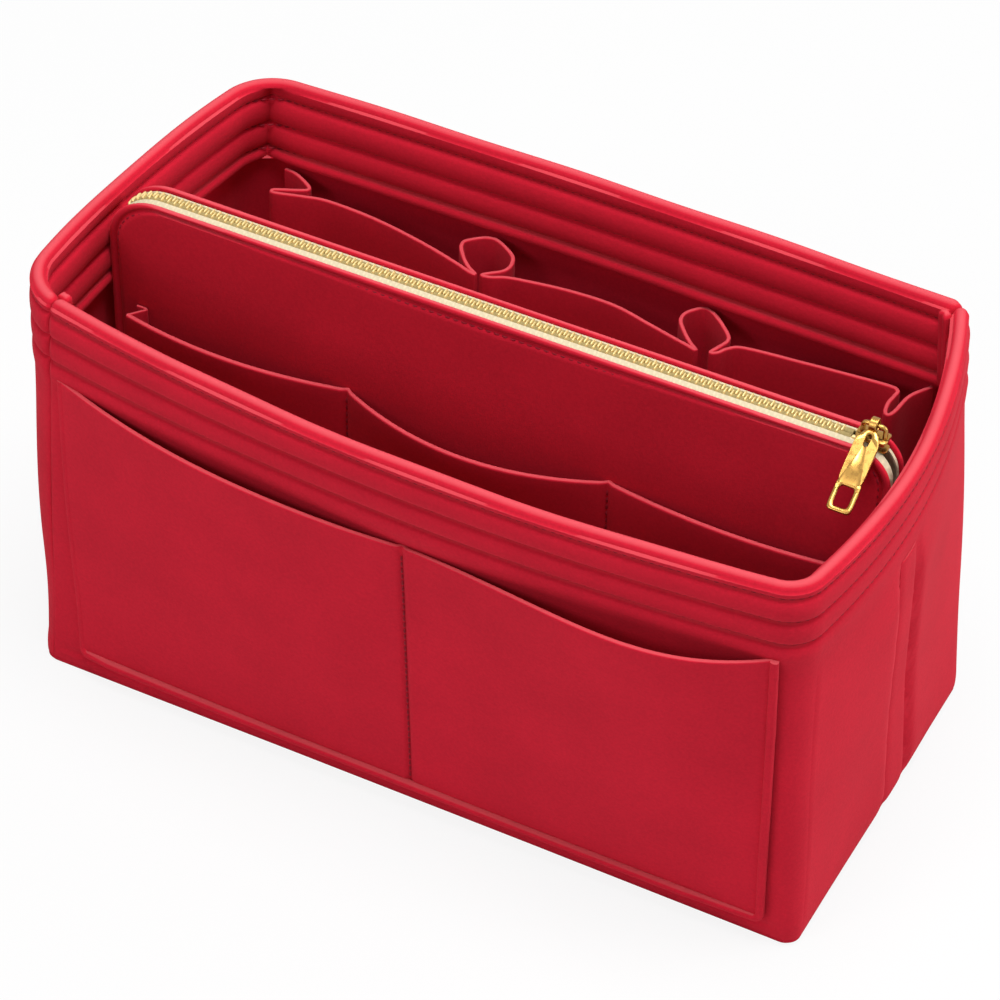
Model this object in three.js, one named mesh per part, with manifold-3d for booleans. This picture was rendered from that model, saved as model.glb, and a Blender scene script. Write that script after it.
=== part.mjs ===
// Felt purse organizer insert: an open felt box with a rim turned in, pockets on the front and
// on the inner back wall, two pen loops, and a zipped felt pouch that stands in the middle and
// lifts out. Millimetres, +Z up, X along the length, front towards -Y, and the origin at the
// centre of the underside of the base.
import * as THREE from 'three';
import { mergeVertices } from 'three/addons/utils/BufferGeometryUtils.js';
import Module from 'manifold-3d';

const wasm = await Module();
wasm.setup();

// Felt, and the clearance between pieces that are sewn or rest together
const WALL_FELT = 2.6;
const POCKET_FELT = 2;
const GAP = 0.3;

// Felt box: the base is measured outside the walls. The rim's corners are along the middle of the
// rim, before they are rounded, from the front left counter-clockwise, and the soft walls lean.
const BASE_LENGTH = 306;
const BASE_DEPTH = 148.6;
const BASE_CORNER = 9;
const BOX_HEIGHT = 174.5;
const RIM_CORNERS = [[-153, -71], [148.5, -81], [138, 74], [-144, 76]];
const RIM_RADII = [22, 12, 6, 19];
const RIM_BOWS = [11.5, 11, 2, 3.3];
const RIM_THICKNESS = 5.2;
const HEM_DEPTH = 33;

// Corner seam allowances inside the box, and the lap strips down the middle of the two ends
const SEAM_WIDTH = 5;
const SEAM_DEPTH = 4;
const END_STRIP_WIDTH = 22;
const END_STRIP_BELOW_HEM = 2;

// Pocket panel on the outside of the front wall, with its raised welts
const OUTER_POCKET_LEFT_X = -132;
const OUTER_POCKET_RIGHT_X = 139;
const OUTER_POCKET_SEAM_X = 4.4;
const OUTER_POCKET_BOTTOM = 12.5;
const OUTER_MOUTH_DROP = 32;
const OUTER_GAPE_LEFT = 10;
const OUTER_GAPE_RIGHT = 13;
const WELT_WIDTH = 3.4;
const WELT_PROUD = 3.2;

// Pleated pocket strip along the inside of the back wall, with two pen loops
const STRIP_BELOW_HEM = 4.5;
const STRIP_BOTTOM = 12;
const STRIP_TURN = 60;
const STRIP_LEFT = -126;
const STRIP_RIGHT = 120.5;
const LOOP_LEFT_X = -38.5;
const LOOP_RIGHT_X = 51.5;
const LOOP_OUTER_RADIUS = 10.2;
const LOOP_SLIT = 3;
const LOOP_NECK_SLACK = 1.4;
const LEFT_POCKET_DEPTH = 10;
const MIDDLE_POCKET_DEPTH = 13;
const RIGHT_POCKET_DEPTH = 7.5;
const PLEAT_REACH = 10.5;
const PLEAT_FOLD = 2.6;
const GUSSET_DEPTH = 20;
const GUSSET_SPREAD = 9.5;

// Removable pouch
const POUCH_END_CLEARANCE = 1;
const POUCH_FRONT_Y = -17.9;
const POUCH_THICKNESS = 13;
const POUCH_RISE = 6;
const POUCH_LEFT_CORNER = 20;
const POUCH_RIGHT_CORNER = 14;
const POUCH_BOTTOM_CORNER = 14;
const POUCH_POCKET_DROP = 50;
const POUCH_POCKET_BOTTOM = 14;
const POUCH_POCKET_INSET = 6;
const POUCH_DIVISION_LEFT_X = -51.5;
const POUCH_DIVISION_RIGHT_X = 50;
const POUCH_GAPE_LEFT = 7;
const POUCH_GAPE_MIDDLE = 12;
const POUCH_GAPE_RIGHT = 6.5;

// Zip: tapes, two rows of metal teeth, stops, slider and pull tab
const ZIP_INSET = 0.6;
const ZIP_TAIL = 14;
const TAPE_FRONT_WIDTH = 2.5;
const TAPE_THICKNESS = 0.8;
const TOOTH_PITCH = 2.54;
const TOOTH_WIDTH = 1.1;
const CHAIN_WIDTH = 4.6;
const CHAIN_THICKNESS = 2.6;
const TOOTH_ROOT = 1.2;
const TOOTH_OVERLAP = 0.9;
const STOP_LENGTH = 3;
const SLIDER_LENGTH = 11;
const SLIDER_NECK = 0.8;
const SLIDER_PLATE = 1.2;
const SLIDER_CLEARANCE = 0.35;
const SLIDER_FLANGE = 1;
const SLIDER_PAST_STOP = 4;
const BAIL_RISE = 3.6;
const BAIL_HALF_LENGTH = 4;
const BAIL_WIRE = 1.6;
const TAB_LENGTH = 32;
const TAB_WIDTH = 8.6;
const TAB_NECK_WIDTH = 4.4;
const TAB_THICKNESS = 1.4;
const TAB_EYE_WIDTH = 2.6;
const TAB_EYE_CLEARANCE = 0.4;
const TAB_EYE_WALL = 1.1;
const TAB_SLOT_LENGTH = 4.4;
const TAB_SLOT_WIDTH = 1.8;
const TAB_WINDOW_LENGTH = 7.6;
const TAB_WINDOW_WIDTH = 5.4;
const TAB_RAIL = 1.6;
const TAB_DROOP = THREE.MathUtils.degToRad(31);

// Steps of the round and bowed stretches
const TILT_ROUNDS = 12;
const SIDE_STEPS = 14;
const CORNER_STEPS = 5;
const ROLL_STEPS = 4;
const WALL_LEVELS = 5;
const PANEL_STEPS = 14;
const DROP_STEPS = 6;
const LOOP_STEPS = 20;

const halfRim = RIM_THICKNESS / 2;
const rimLevel = BOX_HEIGHT - halfRim;
const hemEdge = BOX_HEIGHT - HEM_DEPTH;
const wallInside = halfRim - WALL_FELT;
const outerMouth = BOX_HEIGHT - OUTER_MOUTH_DROP;
const stripTop = hemEdge - STRIP_BELOW_HEM;
const pouchTop = BOX_HEIGHT + POUCH_RISE;
const pouchPocketTop = pouchTop - POUCH_POCKET_DROP;
const { lerp } = THREE.MathUtils;

const felt = (color) => new THREE.MeshStandardMaterial({ color, roughness: 0.95, metalness: 0 });
const brass = (color) => new THREE.MeshStandardMaterial({ color, roughness: 0.3, metalness: 1 });
const wallRed = '#c3263a';
const pocketRed = '#b82034';
const pouchRed = '#a81c2c';
const cream = '#ecdcb8';
const gold = '#cfa85c';

const box = new THREE.Group();
const pouch = new THREE.Group();
const slider = new THREE.Group();
const pullTab = new THREE.Group();

function addPiece(group, name, geometry, material) {
  const mesh = new THREE.Mesh(geometry, material);
  mesh.name = name;
  group.add(mesh);
}

// Closed geometry from triangle corners, turned so that its faces point outwards
function solidFrom(corners) {
  let volume = 0;
  for (let i = 0; i < corners.length; i += 3) {
    const [a, b, c] = corners.slice(i, i + 3);
    volume += a.dot(b.clone().cross(c));
  }
  const ordered = [];
  for (let i = 0; i < corners.length; i += 3) {
    const [a, b, c] = corners.slice(i, i + 3);
    ordered.push(a, ...(volume > 0 ? [b, c] : [c, b]));
  }
  const geometry = new THREE.BufferGeometry().setFromPoints(ordered);
  return mergeVertices(geometry, 1e-4);
}

function quad(list, a, b, c, d) {
  list.push(a, b, c, a, c, d);
}

// Solid between rings of equal length; flat is the ring's own section, for the two end caps
function loft(rings, flat) {
  const corners = [];
  for (let i = 0; i + 1 < rings.length; i += 1) {
    rings[i].forEach((point, j) => {
      const k = (j + 1) % rings[i].length;
      quad(corners, point, rings[i][k], rings[i + 1][k], rings[i + 1][j]);
    });
  }
  const around = Math.sign(THREE.ShapeUtils.area(flat));
  const [first, last] = [rings[0], rings[rings.length - 1]];
  THREE.ShapeUtils.triangulateShape(flat, []).forEach((face) => {
    const same = Math.sign(THREE.ShapeUtils.area(face.map((i) => flat[i]))) === around;
    const [a, b, c] = same ? face : [...face].reverse();
    corners.push(first[a], first[c], first[b], last[a], last[b], last[c]);
  });
  return solidFrom(corners);
}

// Felt sheet: place(a, b, side) gives a point for a and b from 0 to 1 on either face, side 0 or 1
function sheet(across, up, place) {
  const corners = [];
  const at = (i, j, side) => place(i / across, j / up, side);
  for (let i = 0; i < across; i += 1) {
    for (let j = 0; j < up; j += 1) {
      quad(corners, at(i, j, 0), at(i + 1, j, 0), at(i + 1, j + 1, 0), at(i, j + 1, 0));
      quad(corners, at(i, j, 1), at(i, j + 1, 1), at(i + 1, j + 1, 1), at(i + 1, j, 1));
    }
    quad(corners, at(i, 0, 0), at(i, 0, 1), at(i + 1, 0, 1), at(i + 1, 0, 0));
    quad(corners, at(i, up, 0), at(i + 1, up, 0), at(i + 1, up, 1), at(i, up, 1));
  }
  for (let j = 0; j < up; j += 1) {
    quad(corners, at(0, j, 0), at(0, j + 1, 0), at(0, j + 1, 1), at(0, j, 1));
    quad(corners, at(across, j, 0), at(across, j, 1), at(across, j + 1, 1), at(across, j + 1, 0));
  }
  return solidFrom(corners);
}

// One side of the plan outline between two corner circles: it runs straight from reach to reach and
// bows outwards. Its ends tilt, and the corner arcs start and end at those tilts.
function planSide(centres, radii, facing, bow) {
  const normal = new THREE.Vector2(Math.round(Math.cos(facing)), Math.round(Math.sin(facing)));
  const tangent = new THREE.Vector2(-normal.y, normal.x);
  let tilts = [0, 0];
  let side = {};
  for (let i = 0; i < TILT_ROUNDS; i += 1) {
    const runs = centres.map((c, j) => {
      return c.dot(tangent) + (j === 0 ? -1 : 1) * radii[j] * Math.sin(tilts[j]);
    });
    const reaches = centres.map((c, j) => c.dot(normal) + radii[j] * Math.cos(tilts[j]));
    const slant = (reaches[1] - reaches[0]) / 2;
    const half = (runs[1] - runs[0]) / 2;
    side = { normal, tangent, facing, bow, runs, reaches, tilts };
    tilts = [Math.atan((2 * bow + slant) / half), Math.atan((2 * bow - slant) / half)];
  }
  return side;
}

// Plan outline of the box. u runs from 0 to 8 counter-clockwise: front 0 to 1, front right corner
// 1 to 2, right end 2 to 3, back right corner 3 to 4, and so on round to the front left corner.
const SIDES = 4;
const ROUND = 2 * SIDES;
function planOutline(corners, radii, bows) {
  const centres = corners.map(([x, y], i) => {
    return new THREE.Vector2(x - Math.sign(x) * radii[i], y - Math.sign(y) * radii[i]);
  });
  const sides = bows.map((bow, i) => {
    const next = (i + 1) % SIDES;
    return planSide([centres[i], centres[next]], [radii[i], radii[next]], (i - 1) * (Math.PI / 2), bow);
  });
  const point = (u) => {
    const turn = ((u % ROUND) + ROUND) % ROUND;
    const index = Math.floor(turn / 2);
    const along = turn - 2 * index;
    const side = sides[index];
    if (along > 1) {
      const next = (index + 1) % SIDES;
      const first = side.facing + side.tilts[1];
      const last = side.facing + Math.PI / 2 - sides[next].tilts[0];
      const angle = lerp(first, last, along - 1);
      const arm = new THREE.Vector2(Math.cos(angle), Math.sin(angle));
      return centres[next].clone().addScaledVector(arm, radii[next]);
    }
    const s = 2 * along - 1;
    const reach = lerp(...side.reaches, along) + side.bow * (1 - s * s);
    const run = lerp(...side.runs, along);
    return side.normal.clone().multiplyScalar(reach).addScaledVector(side.tangent, run);
  };
  return { point, sides, radii };
}

const [floorX, floorY] = [BASE_LENGTH, BASE_DEPTH].map((size) => size / 2 - halfRim);
const floorCorners = [[-floorX, -floorY], [floorX, -floorY], [floorX, floorY], [-floorX, floorY]];
const floorRadii = Array(SIDES).fill(BASE_CORNER - halfRim);
const floor = planOutline(floorCorners, floorRadii, Array(SIDES).fill(0));
const rim = planOutline(RIM_CORNERS, RIM_RADII, RIM_BOWS);

// Radius of a corner at a height, from the front left corner counter-clockwise
function cornerRadius(corner, z) {
  return lerp(floor.radii[corner], rim.radii[corner], Math.min(z / rimLevel, 1));
}

// Point of the box wall at u, at height z and n outwards from the middle of the rim
function wallPoint(u, z, n) {
  const t = Math.min(z / rimLevel, 1);
  const at = (v) => floor.point(v).lerp(rim.point(v), t);
  const step = 1e-3;
  const along = at(u + step).sub(at(u - step)).normalize();
  const point = at(u);
  return new THREE.Vector3(point.x + n * along.y, point.y - n * along.x, z);
}

// u of a side's point at a run along that side, which may go on round the corners
function sideU(side, run, z) {
  const t = Math.min(z / rimLevel, 1);
  const [from, to] = [0, 1].map((i) => lerp(floor.sides[side].runs[i], rim.sides[side].runs[i], t));
  const quarter = (corner) => (cornerRadius(corner, z) + halfRim) * (Math.PI / 2);
  if (run > to) return 2 * side + 1 + (run - to) / quarter((side + 1) % SIDES);
  if (run < from) return 2 * side - (from - run) / quarter(side);
  return 2 * side + (run - from) / (to - from);
}

function wallStations(from, to) {
  const list = [from];
  for (let u = from; u < to - 1e-9;) {
    const cell = Math.floor(u + 1e-9);
    const steps = ((cell % 2) + 2) % 2 === 0 ? SIDE_STEPS : CORNER_STEPS;
    u = Math.min(Math.floor((u - cell) * steps + 1 + 1e-6) / steps + cell, to);
    list.push(u);
  }
  return list;
}

// One felt strip that makes two walls, with its top turned in as a hem and rolled over. Its section
// is given by two rails from the floor to the top of the roll, outside and inside.
function wallStrip(from, to) {
  const rails = [[], []];
  for (let i = 0; i <= WALL_LEVELS; i += 1) {
    const z = lerp(WALL_FELT, hemEdge, i / WALL_LEVELS);
    rails[0].push([halfRim, z]);
    rails[1].push([wallInside, z]);
  }
  rails[0].push([halfRim, (hemEdge + rimLevel) / 2]);
  rails[1].push([-halfRim, hemEdge]);
  for (let i = 0; i < ROLL_STEPS; i += 1) {
    const angle = (Math.PI / 2) * (i / ROLL_STEPS);
    const z = rimLevel + halfRim * Math.sin(angle);
    rails[0].push([halfRim * Math.cos(angle), z]);
    rails[1].push([-halfRim * Math.cos(angle), z]);
  }
  const stations = wallStations(from, to);
  const last = rails[0].length - 1;
  return sheet(stations.length - 1, last, (a, b, face) => {
    const u = stations[Math.round(a * (stations.length - 1))];
    const [n, z] = rails[face][Math.round(b * last)];
    return wallPoint(u, z, n);
  });
}

// The two seams, each in the middle of a corner, and half of its gap as a share of the quarter turn
const frontLeftSeam = { u: -0.5, corner: 0 };
const backRightSeam = { u: 3.5, corner: 2 };
const seamShare = ({ corner }) => GAP / 2 / (floor.radii[corner] * (Math.PI / 2));

function basePanel() {
  const corners = [1, 3, 5, 7].flatMap((u) => wallStations(u, u + 1));
  const ring = (z) => corners.map((u) => wallPoint(u, 0, halfRim).setZ(z));
  return loft([ring(0), ring(WALL_FELT)], ring(0).map((p) => new THREE.Vector2(p.x, p.y)));
}

// Bulky seam allowance inside a corner: it steps inwards where the hem lies over the wall
function cornerSeam({ u, corner }) {
  const half = SEAM_WIDTH / 2;
  const heights = [WALL_FELT, hemEdge - SEAM_DEPTH, hemEdge - GAP, rimLevel];
  const backs = [wallInside, wallInside, -halfRim, -halfRim];
  const rings = heights.map((z, i) => {
    const outer = wallPoint(u, z, backs[i] - GAP - SEAM_DEPTH / 2);
    const inward = wallPoint(u, z, backs[i] - GAP - SEAM_DEPTH).sub(outer).normalize();
    const sideways = new THREE.Vector3(-inward.y, inward.x, 0);
    return [[-1, -1], [1, -1], [1, 1], [-1, 1]].map(([a, b]) => outer.clone()
      .addScaledVector(sideways, a * half)
      .addScaledVector(inward, (b * SEAM_DEPTH) / 2 + cornerLift(corner, z, half, backs[i])));
  });
  return loft(rings, [[-1, -1], [1, -1], [1, 1], [-1, 1]].map((p) => new THREE.Vector2(...p)));
}

// How far a flat strip of a half width stands off the hollow side of a round corner
function cornerLift(corner, z, half, n) {
  const radius = Math.max(cornerRadius(corner, z) + n, 0);
  return radius > half ? radius - Math.sqrt(radius * radius - half * half) : half;
}

// Share from 0 to 1 with its steps close together at both ends, where panels turn the corners
function eased(share) {
  return (1 - Math.cos(Math.PI * share)) / 2;
}

// Strip of felt lying on the outside of a wall between two runs and two heights
function outerStrip(side, from, to, low, high, proud) {
  return sheet(PANEL_STEPS, DROP_STEPS / 2, (a, b, face) => {
    const z = lerp(low, high, b);
    const run = lerp(from, to, eased(a));
    return wallPoint(sideU(side, run, z), z, halfRim + GAP + face * proud);
  });
}

// One compartment of the outer pocket: it lies on the wall round its edge and gapes at the mouth
function outerPocket(from, to, gape) {
  return sheet(PANEL_STEPS, DROP_STEPS, (a, b, face) => {
    const share = eased(a);
    const s = 2 * share - 1;
    const z = lerp(OUTER_POCKET_BOTTOM, outerMouth, b);
    const n = halfRim + GAP + gape * (1 - s * s) * b + face * POCKET_FELT;
    return wallPoint(sideU(0, lerp(from, to, share), z), z, n);
  });
}

// Inner face of the back wall at x
function backInside(x, z) {
  return wallPoint(sideU(2, -x, z), z, wallInside).y - GAP;
}

// Pocket panel along the back wall: depth(x) off the wall above the turn, sewn flat at the bottom
function backPocket(from, to, depth) {
  return sheet(PANEL_STEPS, DROP_STEPS, (a, b, face) => {
    const x = lerp(from, to, a);
    const z = lerp(STRIP_BOTTOM, stripTop, b);
    const rise = Math.min((z - STRIP_BOTTOM) / (STRIP_TURN - STRIP_BOTTOM), 1);
    const off = depth(x) * Math.sin((rise * Math.PI) / 2) + face * POCKET_FELT;
    return new THREE.Vector3(x, backInside(x, z) - off, z);
  });
}

const neckDepth = 2 * LOOP_OUTER_RADIUS + LOOP_NECK_SLACK;
const neckHalf = LOOP_SLIT / 2;

function leftPocketDepth(x) {
  const q = (x - STRIP_LEFT) / (LOOP_LEFT_X - STRIP_LEFT);
  return lerp(LEFT_POCKET_DEPTH, neckDepth, q * q);
}

function middlePocketDepth(x) {
  const middle = (LOOP_LEFT_X + LOOP_RIGHT_X) / 2;
  const s = (x - middle) / (LOOP_RIGHT_X - middle);
  return lerp(MIDDLE_POCKET_DEPTH, neckDepth, s * s);
}

function rightPocketDepth(x) {
  const start = LOOP_RIGHT_X + LOOP_OUTER_RADIUS;
  const q = 1 - (x - start) / (STRIP_RIGHT - start);
  return lerp(RIGHT_POCKET_DEPTH, LOOP_OUTER_RADIUS, q * q);
}

// Pen loop: a tube of felt between the back wall and the neck of the strip, slit at the neck
function penLoop(x) {
  const slit = Math.asin(neckHalf / LOOP_OUTER_RADIUS);
  return sheet(LOOP_STEPS, DROP_STEPS, (a, b, face) => {
    const z = lerp(STRIP_TURN, stripTop, b);
    const angle = lerp(slit, 2 * Math.PI - slit, a) - Math.PI / 2;
    const radius = LOOP_OUTER_RADIUS - face * POCKET_FELT;
    const middle = backInside(x, z) - LOOP_OUTER_RADIUS;
    return new THREE.Vector3(x + radius * Math.cos(angle), middle + radius * Math.sin(angle), z);
  });
}

// Folded ribbon standing on the back wall: points are [x, distance off the wall] along its middle
function foldedRibbon(points) {
  const half = POCKET_FELT / 2;
  const path = points.map((p) => new THREE.Vector2(...p));
  const mitre = (i) => {
    const into = path[i].clone().sub(path[Math.max(i - 1, 0)]);
    const out = path[Math.min(i + 1, path.length - 1)].clone().sub(path[i]);
    const first = (i > 0 ? into : out).normalize();
    const second = (i + 1 < path.length ? out : into).normalize();
    const normal = new THREE.Vector2(-first.y - second.y, first.x + second.x).normalize();
    return normal.multiplyScalar(half / normal.dot(new THREE.Vector2(-first.y, first.x)));
  };
  const near = path.map((p, i) => p.clone().add(mitre(i)));
  const far = path.map((p, i) => p.clone().sub(mitre(i)));
  const section = [...near, ...far.reverse()];
  const rings = [STRIP_TURN, stripTop].map((z) => section.map((p) => {
    return new THREE.Vector3(p.x, backInside(p.x, z) - p.y, z);
  }));
  return loft(rings, section);
}

function leftPleat() {
  const half = POCKET_FELT / 2;
  const tip = STRIP_LEFT - GAP - half;
  const front = LEFT_POCKET_DEPTH + half;
  const back = half;
  const step = (front - back - 2 * PLEAT_FOLD) / 2;
  return foldedRibbon([
    [tip, back],
    [tip + PLEAT_REACH, back + step],
    [tip + PLEAT_REACH, back + step + PLEAT_FOLD],
    [tip, front - PLEAT_FOLD],
    [tip, front],
  ]);
}

function rightGusset() {
  const half = POCKET_FELT / 2;
  const start = STRIP_RIGHT + GAP + half;
  return foldedRibbon([
    [start, RIGHT_POCKET_DEPTH],
    [start, GUSSET_DEPTH],
    [start + PLEAT_FOLD, GUSSET_DEPTH],
    [start + GUSSET_SPREAD, half],
  ]);
}

addPiece(box, 'base_panel', basePanel(), felt(wallRed));
const frontLeftGap = seamShare(frontLeftSeam);
const backRightGap = seamShare(backRightSeam);
addPiece(box, 'front_right_wall', wallStrip(frontLeftSeam.u + frontLeftGap,
  backRightSeam.u - backRightGap), felt(wallRed));
addPiece(box, 'back_left_wall', wallStrip(backRightSeam.u + backRightGap,
  frontLeftSeam.u + ROUND - frontLeftGap), felt(wallRed));
addPiece(box, 'front_left_seam', cornerSeam(frontLeftSeam), felt(wallRed));
addPiece(box, 'back_right_seam', cornerSeam(backRightSeam), felt(wallRed));

const endStripTop = hemEdge - END_STRIP_BELOW_HEM;
[['right_end_strip', 1], ['left_end_strip', 3]].forEach(([name, side]) => {
  const half = END_STRIP_WIDTH / 2;
  addPiece(box, name, outerStrip(side, -half, half, WALL_FELT, endStripTop, POCKET_FELT),
    felt(wallRed));
});

const seamLeft = OUTER_POCKET_SEAM_X - GAP / 2;
const seamRight = OUTER_POCKET_SEAM_X + GAP / 2;
addPiece(box, 'outer_pocket_left', outerPocket(OUTER_POCKET_LEFT_X, seamLeft, OUTER_GAPE_LEFT),
  felt(pocketRed));
addPiece(box, 'outer_pocket_right', outerPocket(seamRight, OUTER_POCKET_RIGHT_X, OUTER_GAPE_RIGHT),
  felt(pocketRed));

const weltLeft = OUTER_POCKET_LEFT_X - GAP;
const weltRight = OUTER_POCKET_RIGHT_X + GAP;
const weltTop = OUTER_POCKET_BOTTOM - GAP;
addPiece(box, 'outer_pocket_welt_left', outerStrip(0, weltLeft - WELT_WIDTH, weltLeft,
  OUTER_POCKET_BOTTOM, outerMouth, WELT_PROUD), felt(pocketRed));
addPiece(box, 'outer_pocket_welt_right', outerStrip(0, weltRight, weltRight + WELT_WIDTH,
  OUTER_POCKET_BOTTOM, outerMouth, WELT_PROUD), felt(pocketRed));
addPiece(box, 'outer_pocket_welt_bottom', outerStrip(0, weltLeft - WELT_WIDTH,
  weltRight + WELT_WIDTH, weltTop - WELT_WIDTH, weltTop, WELT_PROUD), felt(pocketRed));

addPiece(box, 'back_pocket_left', backPocket(STRIP_LEFT, LOOP_LEFT_X - neckHalf, leftPocketDepth),
  felt(pocketRed));
addPiece(box, 'back_pocket_middle', backPocket(LOOP_LEFT_X + neckHalf, LOOP_RIGHT_X - neckHalf,
  middlePocketDepth), felt(pocketRed));
addPiece(box, 'back_pocket_right', backPocket(LOOP_RIGHT_X + LOOP_OUTER_RADIUS + GAP, STRIP_RIGHT,
  rightPocketDepth), felt(pocketRed));
addPiece(box, 'pen_loop_left', penLoop(LOOP_LEFT_X), felt(pocketRed));
addPiece(box, 'pen_loop_right', penLoop(LOOP_RIGHT_X), felt(pocketRed));
addPiece(box, 'back_pocket_pleat', leftPleat(), felt(pocketRed));
addPiece(box, 'back_pocket_gusset', rightGusset(), felt(pocketRed));

// Ends of the pouch: clear of the walls at the floor and of the turned-in rim above it
const pouchBackY = POUCH_FRONT_Y + POUCH_THICKNESS;
const pouchBottom = WALL_FELT + GAP;
const pouchSideFoot = pouchBottom + POUCH_BOTTOM_CORNER;
function roomAt(side) {
  const way = side === 1 ? 1 : -1;
  const levels = [[pouchSideFoot, wallInside], [hemEdge, -halfRim], [rimLevel, -halfRim]];
  const reaches = [POUCH_FRONT_Y, pouchBackY].flatMap((y) => levels.map(([z, n]) => {
    return Math.abs(wallPoint(sideU(side, way * y, z), z, n).x);
  }));
  return Math.min(...reaches) - POUCH_END_CLEARANCE;
}
const pouchLeft = -roomAt(3);
const pouchRight = roomAt(1);
const pouchX = (pouchLeft + pouchRight) / 2;
const pouchHalf = (pouchRight - pouchLeft) / 2;

// Plate standing across Y with the pouch's outline in X and Z
function pouchPanel(front) {
  const outline = [];
  const corner = (x, z, radius, first) => {
    for (let i = 0; i <= CORNER_STEPS; i += 1) {
      const angle = first + (Math.PI / 2) * (i / CORNER_STEPS);
      outline.push(new THREE.Vector2(x + radius * Math.cos(angle), z + radius * Math.sin(angle)));
    }
  };
  const [left, right] = [POUCH_LEFT_CORNER, POUCH_RIGHT_CORNER];
  corner(pouchRight - right, pouchTop - right, right, 0);
  corner(pouchLeft + left, pouchTop - left, left, Math.PI / 2);
  corner(pouchLeft + POUCH_BOTTOM_CORNER, pouchSideFoot, POUCH_BOTTOM_CORNER, Math.PI);
  corner(pouchRight - POUCH_BOTTOM_CORNER, pouchSideFoot, POUCH_BOTTOM_CORNER, 1.5 * Math.PI);
  const ring = (y) => outline.map((p) => new THREE.Vector3(p.x, y, p.y));
  return loft([ring(front), ring(front + POCKET_FELT)], outline);
}

// Half of the zip's path, to the left or right of the pouch's middle: straight, then round a corner
const zipMiddleZ = pouchTop - ZIP_INSET;
function zipHalf(way, corner) {
  const radius = corner - ZIP_INSET;
  const straight = pouchHalf - corner;
  const bend = radius * (Math.PI / 2);
  return { way, radius, straight, bend, end: straight + bend };
}
const zipLeft = zipHalf(-1, POUCH_LEFT_CORNER);
const zipRight = zipHalf(1, POUCH_RIGHT_CORNER);

// Point over the top of the pouch at a run from its middle, off the tape's middle surface
function zipPoint(run, y, off) {
  const { way, radius, straight, bend } = run < 0 ? zipLeft : zipRight;
  const past = Math.max(Math.abs(run) - straight, 0);
  const angle = Math.min(past, bend) / radius;
  const down = Math.max(past - bend, 0);
  const reach = Math.min(Math.abs(run), straight) + (radius + off) * Math.sin(angle);
  const z = zipMiddleZ - radius + (radius + off) * Math.cos(angle) - down;
  return new THREE.Vector3(pouchX + way * reach, y, z);
}

function runStations(from, to) {
  const breaks = [from, to];
  for (let i = 0; i <= CORNER_STEPS; i += 1) {
    [zipLeft, zipRight].forEach(({ way, straight, bend }) => {
      breaks.push(way * (straight + (bend * i) / CORNER_STEPS));
    });
  }
  return breaks.filter((run) => run >= from && run <= to).sort((a, b) => a - b);
}

// Band along the zip's path between two Y values, of a thickness either side of the path
function zipBand(from, to, front, back, thickness) {
  const half = thickness / 2;
  const section = [[front, -half], [back, -half], [back, half], [front, half]];
  const rings = runStations(from, to).map((run) => section.map(([y, off]) => zipPoint(run, y, off)));
  return loft(rings, section.map((p) => new THREE.Vector2(...p)));
}

const tapeStart = -zipLeft.end - ZIP_TAIL;
const tapeEnd = zipRight.end + ZIP_TAIL;
const innerFrontY = POUCH_FRONT_Y + POCKET_FELT + GAP;
const innerBackY = pouchBackY - POCKET_FELT - GAP;
const chainY = innerFrontY + TAPE_FRONT_WIDTH + GAP + CHAIN_WIDTH / 2;
const chainHalf = CHAIN_WIDTH / 2;

// Row of teeth on one tape edge, side -1 in front and 1 behind; the rows mesh half a pitch apart
function teethRow(side, from, to) {
  const corners = [];
  const half = CHAIN_THICKNESS / 2;
  const ys = [chainY + side * chainHalf, chainY + side * (chainHalf - TOOTH_ROOT),
    chainY - side * TOOTH_OVERLAP];
  const p = (run, level, off) => zipPoint(run, ys[level], off * half);
  const count = Math.floor((to - from) / TOOTH_PITCH - 1);
  const first = from + (side < 0 ? TOOTH_PITCH / 2 : TOOTH_PITCH);
  const breaks = [from];
  for (let i = 0; i < count; i += 1) {
    const middle = first + i * TOOTH_PITCH;
    breaks.push(middle - TOOTH_WIDTH / 2, middle + TOOTH_WIDTH / 2);
  }
  breaks.push(to);
  for (let i = 0; i + 1 < breaks.length; i += 1) {
    const [a, b] = [breaks[i], breaks[i + 1]];
    const isTooth = i % 2 === 1;
    quad(corners, p(a, 0, 1), p(b, 0, 1), p(b, 1, 1), p(a, 1, 1));
    quad(corners, p(a, 0, -1), p(a, 1, -1), p(b, 1, -1), p(b, 0, -1));
    quad(corners, p(a, 0, -1), p(b, 0, -1), p(b, 0, 1), p(a, 0, 1));
    const face = isTooth ? 2 : 1;
    quad(corners, p(a, face, -1), p(a, face, 1), p(b, face, 1), p(b, face, -1));
    if (isTooth) {
      quad(corners, p(a, 1, 1), p(b, 1, 1), p(b, 2, 1), p(a, 2, 1));
      quad(corners, p(a, 1, -1), p(a, 2, -1), p(b, 2, -1), p(b, 1, -1));
      quad(corners, p(a, 1, -1), p(a, 1, 1), p(a, 2, 1), p(a, 2, -1));
      quad(corners, p(b, 1, -1), p(b, 2, -1), p(b, 2, 1), p(b, 1, 1));
    }
  }
  quad(corners, p(from, 0, -1), p(from, 0, 1), p(from, 1, 1), p(from, 1, -1));
  quad(corners, p(to, 0, -1), p(to, 1, -1), p(to, 1, 1), p(to, 0, 1));
  return solidFrom(corners);
}

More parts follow.
